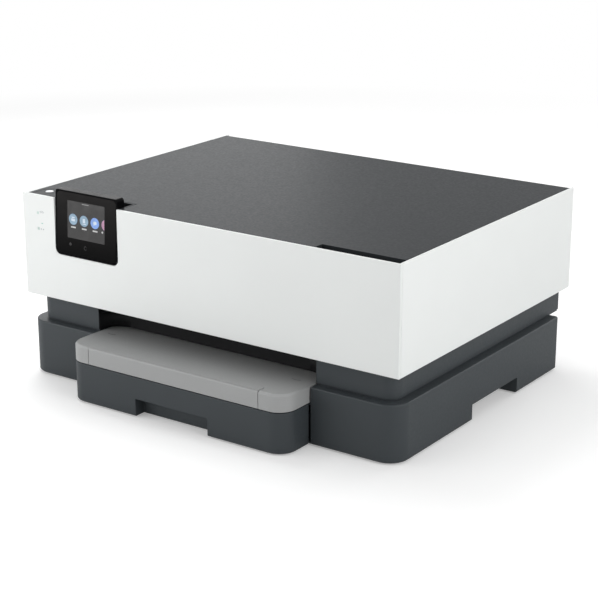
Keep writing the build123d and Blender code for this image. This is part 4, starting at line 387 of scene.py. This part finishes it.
def make_materials():
    """One material for each of the record's material slots, and those of the marks and the painted
    shade.
    """
    low_gloss = {"Specular IOR Level": 0.3}
    faint_gloss = {"Specular IOR Level": 0.12}
    satin = {"Specular IOR Level": 0.04}
    hardly_any_gloss = {"Specular IOR Level": 0.02}
    return {
        "white_shell": moulded("white_shell", (0.79, 0.81, 0.80), 0.46, mottle=0.015, wear=0.2),
        "dark_base": moulded("dark_base", (0.040, 0.047, 0.052), 0.50, **low_gloss),
        "cover_slate": moulded("cover_slate", (0.025, 0.028, 0.031), 0.40, depth=0.001, mottle=0.012,
                               **satin),
        "tray_grey": moulded("tray_grey", (0.33, 0.335, 0.335), 0.5, mottle=0.03),
        "black_plastic": moulded("black_plastic", (0.020, 0.021, 0.022), 0.5),
        "gloss_black": glossy("gloss_black", (0.004, 0.004, 0.0045), 0.22, **hardly_any_gloss),
        # painted reflection: the screen glass is painted lighter towards its top
        "screen_glass": glass_painted_lighter_upwards("screen_glass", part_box("touch_screen"), (0.0015, 0.0015, 0.0016),
                                     (0.019, 0.018, 0.018), **satin),
        "button_silver": glossy("button_silver", (0.62, 0.63, 0.64), 0.28, Metallic=0.3),
        "light_lens": glossy("light_lens", (0.62, 0.74, 0.70), 0.30),
        "rubber": rubber("rubber", (0.020, 0.020, 0.021)),
        "grey_rubber": rubber("grey_rubber", (0.11, 0.11, 0.115)),
        "steel": sheet_metal("steel", (0.58, 0.59, 0.60), 0.36),
        "ground_steel": turned_metal("ground_steel", (0.66, 0.66, 0.67), 0.14),
        "motor_steel": sheet_metal("motor_steel", (0.42, 0.43, 0.44), 0.30, grain=0.5),
        "pinion_brass": turned_metal("pinion_brass", (0.66, 0.46, 0.20), 0.24),
        "gear_nylon": moulded("gear_nylon", (0.74, 0.73, 0.66), 0.42, wear=0.1),
        "clear_film": clear_film("clear_film"),
        "circuit_board": circuit("circuit_board"),
        "socket_metal": sheet_metal("socket_metal", (0.62, 0.62, 0.61), 0.26, grain=0.6),
        "cartridge_black": moulded("cartridge_black", (0.016, 0.016, 0.018), 0.4),
        "cartridge_cyan": moulded("cartridge_cyan", (0.01, 0.24, 0.46), 0.4),
        "cartridge_magenta": moulded("cartridge_magenta", (0.46, 0.01, 0.15), 0.4),
        "cartridge_yellow": moulded("cartridge_yellow", (0.72, 0.54, 0.02), 0.4),
        "display_field": lit("display_field", (0.017, 0.016, 0.016), drift_size=12.0),
        "display_title": lit("display_title", (0.22, 0.22, 0.22)),
        "display_caption": lit("display_caption", (0.50, 0.50, 0.50)),
        "icon_grey": lit("icon_grey", (0.24, 0.36, 0.47)),
        "icon_blue": lit("icon_blue", (0.20, 0.34, 0.72)),
        "icon_pink": lit("icon_pink", (0.46, 0.24, 0.36)),
        "icon_halo": lit("icon_halo", (0.018, 0.030, 0.055)),
        "icon_glyph": lit("icon_glyph", (0.55, 0.64, 0.74)),
        "touch_key": lit("touch_key", (0.005, 0.005, 0.0055)),
        "mark_grey": moulded("mark_grey", (0.42, 0.45, 0.46), 0.5),
        "mark_green": moulded("mark_green", (0.30, 0.55, 0.48), 0.5),
        # painted shade: the dark inside the output tray's finger grooves
        "painted_groove_shade": moulded("painted_groove_shade", (0.17, 0.175, 0.175), 0.5),
        # painted shade: the black that stands for the shade deep inside the output slot
        "painted_slot_shade": moulded("painted_slot_shade", (0.012, 0.012, 0.013), 0.6, **faint_gloss),
    }


# ---------------------------------------------------------------- pieces
def body_of(node_name):
    """The body that a CAD node belongs to."""
    for body, names in frame["record"]["behaviour"]["bodies"].items():
        if node_name in names:
            return body
    raise KeyError(node_name)


def welded_copy(node_name):
    """A CAD node's shape as a bmesh, its corners joined."""
    shape = bmesh.new()
    shape.from_mesh(frame["nodes"][node_name].data)
    bmesh.ops.remove_doubles(shape, verts=shape.verts, dist=WELD)
    return shape


def new_object(name, shape, material, body):
    """An object from a bmesh in the shared frame, that rides on a body."""
    mesh = bpy.data.meshes.new(name)
    shape.to_mesh(mesh)
    shape.free()
    made = bpy.data.objects.new(name, mesh)
    bpy.context.collection.objects.link(made)
    mesh.materials.append(material)
    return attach(made, body)


def roundable_edges(shape):
    """The sharp edges, without those that meet another sharp edge at an acute corner."""
    sharp = {edge for edge in shape.edges if edge.calc_face_angle(0) > SHARP}
    kept = set(sharp)
    for corner in shape.verts:
        meeting = [edge for edge in corner.link_edges if edge in sharp]
        ways = [edge.other_vert(corner).co - corner.co for edge in meeting]
        for first in range(len(meeting)):
            for second in range(first + 1, len(meeting)):
                if ways[first].angle(ways[second], math.pi) < ACUTE:
                    kept -= {meeting[first], meeting[second]}
    return kept


def soften(node_name, width, material):
    """Stands for a CAD node with the same shape, its edges rounded."""
    shape = welded_copy(node_name)
    bmesh.ops.dissolve_limit(shape, angle_limit=FLAT, verts=shape.verts, edges=shape.edges)
    weight = shape.edges.layers.float.new("bevel_weight_edge")
    for edge in roundable_edges(shape):
        edge[weight] = 1.0
    for face in shape.faces:
        face.smooth = True
    made = new_object(node_name + "_soft", shape, material, body_of(node_name))
    rounding = made.modifiers.new("rounding", "BEVEL")
    rounding.width = width * MM
    rounding.segments = ROUNDING_STEPS
    rounding.limit_method = "WEIGHT"
    rounding.use_clamp_overlap = False
    rounding.loop_slide = False
    made.modifiers.new("normals", "WEIGHTED_NORMAL").keep_sharp = True
    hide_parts(node_name)


def dress_parts(materials):
    """Gives every CAD node its slot's material and stands a copy with rounded edges for it."""
    for part in frame["record"]["subparts"]:
        name, slot = part["node"], part["material_slot"]
        shown = frame["nodes"][name].data
        shown.materials.clear()
        shown.materials.append(materials[slot])
        soften(name, EDGES.get(name, ROUNDING), materials[slot])


# ---------------------------------------------------------------- printed marks and painted shade
def face_plane(node_name, facing):
    """The plane of a node's largest face towards facing: its middle, with axes across, up and out."""
    mesh = frame["nodes"][node_name].data
    way = Vector(facing)
    front = max(mesh.polygons, key=lambda face: face.area * (face.normal.dot(way) > 0.9))
    out = front.normal.copy()
    across = (Vector((1, 0, 0)) - out * out.x).normalized()
    up = out.cross(across)
    level = front.center.dot(out)
    corners = [mesh.vertices[index].co for face in mesh.polygons for index in face.vertices
               if face.normal.dot(out) > 0.999 and abs(face.center.dot(out) - level) < 0.02 * MM]
    middle = out * level
    for axis in (across, up):
        reach = [corner.dot(axis) for corner in corners]
        middle += axis * (min(reach) + max(reach)) / 2
    place = Matrix((across, up, out)).transposed().to_4x4()
    place.translation = middle
    return place


def disc(x, y, radius, steps=48):
    """The outline of a disc in millimetres."""
    turns = [2 * math.pi * step / steps for step in range(steps)]
    return [(x + radius * math.cos(turn), y + radius * math.sin(turn)) for turn in turns]


def strip(x, y, width, height, radius, steps=6):
    """The outline of a strip in millimetres, round its middle, with rounded corners."""
    points = []
    for quarter, (right, top) in enumerate(((1, 1), (-1, 1), (-1, -1), (1, -1))):
        centre_x = x + right * (width / 2 - radius)
        centre_y = y + top * (height / 2 - radius)
        for step in range(steps + 1):
            turn = (quarter + step / steps) * math.pi / 2
            points.append((centre_x + radius * math.cos(turn), centre_y + radius * math.sin(turn)))
    return points


def arc(x, y, radius, turn, stroke, steps=20):
    """The outline of a curved stroke in millimetres, over a turn in degrees."""
    start, end = turn
    turns = [math.radians(start + (end - start) * step / steps) for step in range(steps + 1)]
    ways = [(math.cos(angle), math.sin(angle)) for angle in turns]
    outer = [(x + (radius + stroke / 2) * way_x, y + (radius + stroke / 2) * way_y)
             for way_x, way_y in ways]
    inner = [(x + (radius - stroke / 2) * way_x, y + (radius - stroke / 2) * way_y)
             for way_x, way_y in ways]
    return outer + inner[::-1]


def clipped(outline, right):
    """An outline cut off at the right."""
    return [(min(x, right), y) for x, y in outline]


def printed(name, place, outlines, material, body, layer):
    """Flat marks on a plane, as thick as their layer."""
    shape = bmesh.new()
    low, high = layer
    for outline in outlines:
        bottom = [shape.verts.new(place @ Vector((x * MM, y * MM, low * MM))) for x, y in outline]
        top = [shape.verts.new(place @ Vector((x * MM, y * MM, high * MM))) for x, y in outline]
        shape.faces.new(top)
        shape.faces.new(bottom[::-1])
        for first in range(len(outline)):
            second = (first + 1) % len(outline)
            shape.faces.new((bottom[first], bottom[second], top[second], top[first]))
    bmesh.ops.recalc_face_normals(shape, faces=shape.faces)
    new_object(name, shape, material, body)


def add_display(materials):
    """The screen's picture: a dim field, a title bar, a row of round icons and their captions."""
    panel_low, panel_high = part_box("control_panel")
    width = (panel_high.x - panel_low.x) / MM
    place = face_plane("touch_screen", (0, -1, 0))
    top = (panel_high.z - place.translation.z) / MM
    left = (panel_low.x - place.translation.x) / MM
    body = body_of("touch_screen")

    def at(share, depth):
        return left + share * width, top - depth

    def show(name, outlines, slot, layer):
        printed(name, place, outlines, materials[slot], body, layer)

    field_left, field_top = at(*FIELD_LEFT_TOP)
    field_right, field_bottom = at(*FIELD_RIGHT_BOTTOM)
    field = strip((field_left + field_right) / 2, (field_top + field_bottom) / 2,
                  field_right - field_left, field_top - field_bottom, FIELD_CORNER)
    title = strip(*at(*TITLE_PLACE), *TITLE_SIZE, TITLE_CORNER)
    show("display_field", [field], "display_field", GLASS_LAYER)
    show("display_title", [title], "display_title", ICON_LAYER)

    edge = field_right - ICON_MARGIN
    captions = []
    glyphs = []
    for name, share, slot in ICONS:
        x, y = at(share, ICON_DEPTH)
        show("icon_" + name, [clipped(disc(x, y, ICON_RADIUS), edge)], slot, ICON_LAYER)
        show("icon_halo_" + name, [clipped(disc(x, y, HALO_RADIUS), edge)], "icon_halo", HALO_LAYER)
        for shift_x, shift_y, *size in GLYPHS.get(name, []):
            glyphs.append(strip(x + shift_x, y + shift_y, *size))
        if name == "last":
            shift_x, shift_y = CUT_CAPTION_SHIFT
            captions.append(disc(edge + shift_x, y + shift_y, CUT_CAPTION_RADIUS, steps=16))
        else:
            shift_x, shift_y = CAPTION_SHIFT
            captions.append(strip(x + shift_x, y + shift_y, *CAPTION_SIZE, CAPTION_CORNER))
    show("display_captions", captions, "display_caption", ICON_LAYER)
    show("icon_glyphs", glyphs, "icon_glyph", GLYPH_LAYER)
    keys = [disc(*at(*DOT_KEY_PLACE), DOT_KEY_RADIUS, steps=24),
            arc(*at(*RING_KEY_PLACE), RING_KEY_RADIUS, RING_KEY_TURN, RING_KEY_STROKE)]
    show("touch_keys", keys, "touch_key", GLASS_LAYER)


def add_status_marks(materials):
    """The small signs beside the status lights: a radio sign, a link dash and two dots."""
    low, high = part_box("status_lights")
    place = face_plane("front_panel", (0, -1, 0))
    body = body_of("front_panel")
    x = (high.x - place.translation.x) / MM + SIGN_GAP
    top = (high.z - place.translation.z) / MM
    bottom = (low.z - place.translation.z) / MM
    radio = [arc(x, top - RADIO_DROP, radius, RADIO_TURN, RADIO_STROKE) for radius in RADIO_RADII]
    link = [strip(x, bottom + LINK_RISE, *LINK_SIZE, LINK_CORNER)]
    dots = [disc(x + side * DOTS_REACH, bottom + DOTS_RISE, DOT_RADIUS, steps=20) for side in (-1, 1)]
    printed("radio_mark", place, radio, materials["mark_grey"], body, SHELL_LAYER)
    printed("link_mark", place, link, materials["mark_green"], body, SHELL_LAYER)
    printed("dot_marks", place, dots, materials["mark_grey"], body, SHELL_LAYER)


def add_painted_groove_shade(materials):
    """Painted shade: dark curved arcs that stand for the shade in the finger grooves near the two front
    corners of the output tray.
    """
    low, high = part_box("output_tray")
    place = Matrix.Translation((0.0, 0.0, high.z))
    y = low.y / MM + FINGER_CENTRE
    # painted shade: one dark arc for each finger groove
    marks = [arc(x, y, FINGER_RADIUS, FINGER_TURN, FINGER_STROKE)
             for x in (low.x / MM + FINGER_INSET, high.x / MM - FINGER_INSET)]
    printed("tray_groove_shade", place, marks, materials["painted_groove_shade"], body_of("output_tray"), GROOVE_SHADE_LAYER)


def add_lip_strip(materials):
    """The raised strip along the top of the tray extension's front edge."""
    low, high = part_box("tray_extension")
    place = Matrix.Translation((0.0, 0.0, high.z))
    x = (low.x + high.x) / 2 / MM
    y = low.y / MM + LIP_INSET + LIP_DEPTH / 2
    width = (high.x - low.x) / MM - LIP_SIDE_GAPS
    outline = strip(x, y, width, LIP_DEPTH, LIP_CORNER)
    printed("lip_strip", place, [outline], materials["tray_grey"], body_of("tray_extension"), LIP_LAYER)


def lay_shade_sheet(name, node_name, low, high, ways, material):
    """A thin sheet of painted shade over a node's faces inside a box, where they look one of these ways.
    """
    shape = welded_copy(node_name)
    shape.normal_update()

    def inside(point):
        return all(low[axis] <= point[axis] <= high[axis] for axis in range(3))

    bare = []
    for face in shape.faces:
        looks = any(face.normal.dot(Vector(way)) > 0.3 for way in ways)
        if not looks or not all(inside(corner.co) for corner in face.verts):
            bare.append(face)
    bmesh.ops.delete(shape, geom=bare, context="FACES")
    made = new_object(name, shape, material, body_of(node_name))
    skin = made.modifiers.new("skin", "SOLIDIFY")
    skin.thickness = SHADE_SHEET_THICKNESS
    skin.offset = 1.0


def add_painted_slot_shade(materials):
    """Painted shade: a thin black sheet on the wall behind the output tray, which keeps the slot as dark
    as the shade deep in it.
    """
    tray_low, tray_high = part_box("output_tray")
    margin = 1.6 * MM
    deep_margin = 4 * margin
    low = (tray_low.x - margin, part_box("mid_frame")[0].y - margin, tray_high.z - deep_margin)
    high = (tray_high.x + margin, tray_high.y + deep_margin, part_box("front_panel")[0].z + margin)
    ways = [(0, -1, 0), (1, 0, 0), (-1, 0, 0)]
    # painted shade laid on the slot's walls
    lay_shade_sheet("painted_slot_shade_sheet", "mid_frame", low, high, ways, materials["painted_slot_shade"])


# ---------------------------------------------------------------- studio
def floor_material():
    """A matt white floor that fades into the white background away from the object."""
    material, tree, place = new_material("floor_white")
    scaled = node(tree, "Mapping", Vector=place, Scale=(FADE_SCALE,) * 3).outputs["Vector"]
    ball = node(tree, "TexGradient", {"gradient_type": "SPHERICAL"}, Vector=scaled).outputs["Fac"]
    matt = node(tree, "BsdfDiffuse", Color=FLOOR_GREY).outputs["BSDF"]
    white = node(tree, "Emission", Color=WHITE, Strength=1.0).outputs["Emission"]
    seen = node(tree, "LightPath").outputs["Is Camera Ray"]
    lift = remap(tree, seen, (0.0, 1.0), (0.0, FLOOR_LIFT))
    glow = node(tree, "Emission", Color=WHITE, Strength=lift).outputs["Emission"]
    lifted = pair(tree, "AddShader", matt, glow).outputs["Shader"]
    blend = node(tree, "MixShader", Fac=remap(tree, ball, (0.0, FADE_SHARE)))
    tree.links.new(white, blend.inputs[1])
    tree.links.new(lifted, blend.inputs[2])
    node(tree, "OutputMaterial", Surface=blend.outputs["Shader"])
    return material


def add_floor():
    """The floor under the printer's feet."""
    shape = bmesh.new()
    bmesh.ops.create_grid(shape, x_segments=4, y_segments=4, size=FLOOR_HALF)
    mesh = bpy.data.meshes.new("floor")
    shape.to_mesh(mesh)
    shape.free()
    floor = bpy.data.objects.new("floor", mesh)
    floor.location.z = cad_bounds[0].z
    mesh.materials.append(floor_material())
    bpy.context.collection.objects.link(floor)


def add_world():
    """An even pale surround, white where the camera, gloss and glass see it."""
    world = bpy.data.worlds.new("studio")
    world.use_nodes = True
    tree = world.node_tree
    tree.nodes.clear()
    path = node(tree, "LightPath")
    seen = path.outputs["Is Camera Ray"]
    for ray in ("Is Glossy Ray", "Is Transmission Ray"):
        either = pair(tree, "Math", seen, path.outputs[ray], {"operation": "MAXIMUM"})
        seen = either.outputs["Value"]
    strength = remap(tree, seen, (0.0, 1.0), (SURROUND, 1.0))
    surround = node(tree, "Background", Color=WHITE, Strength=strength)
    node(tree, "OutputWorld", Surface=surround.outputs["Background"])
    bpy.context.scene.world = world


def add_softbox(name, direction, distance, size, power):
    """A square lamp that faces the printer from a direction."""
    data = bpy.data.lights.new(name, "AREA")
    data.shape = "SQUARE"
    data.size = size
    data.energy = power
    lamp = bpy.data.objects.new(name, data)
    lamp.visible_camera = False
    way = Vector(direction).normalized()
    lamp.location = AIM + way * distance
    lamp.rotation_mode = "QUATERNION"
    lamp.rotation_quaternion = way.to_track_quat("Z", "Y")
    bpy.context.collection.objects.link(lamp)


def add_camera():
    """The camera, level, looking at AIM."""
    data = bpy.data.cameras.new("camera")
    data.lens = LENS
    data.sensor_width = SENSOR_WIDTH
    data.clip_start = 0.1
    data.clip_end = 50.0
    camera = bpy.data.objects.new("camera", data)
    turn, rise = math.radians(AZIMUTH), math.radians(ELEVATION)
    back = Vector((math.sin(turn) * math.cos(rise), -math.cos(turn) * math.cos(rise), math.sin(rise)))
    camera.location = AIM + back * DISTANCE
    camera.rotation_mode = "QUATERNION"
    camera.rotation_quaternion = (-back).to_track_quat("-Z", "Y")
    bpy.context.collection.objects.link(camera)
    bpy.context.scene.camera = camera


def add_studio():
    """Floor, surround, lamps, camera and the plain view transform."""
    add_floor()
    add_world()
    for lamp in LAMPS:
        add_softbox(*lamp)
    add_camera()
    bpy.context.scene.view_settings.view_transform = "Standard"


materials = make_materials()
dress_parts(materials)
add_display(materials)
add_status_marks(materials)
add_painted_groove_shade(materials)
add_lip_strip(materials)
add_painted_slot_shade(materials)
add_studio()
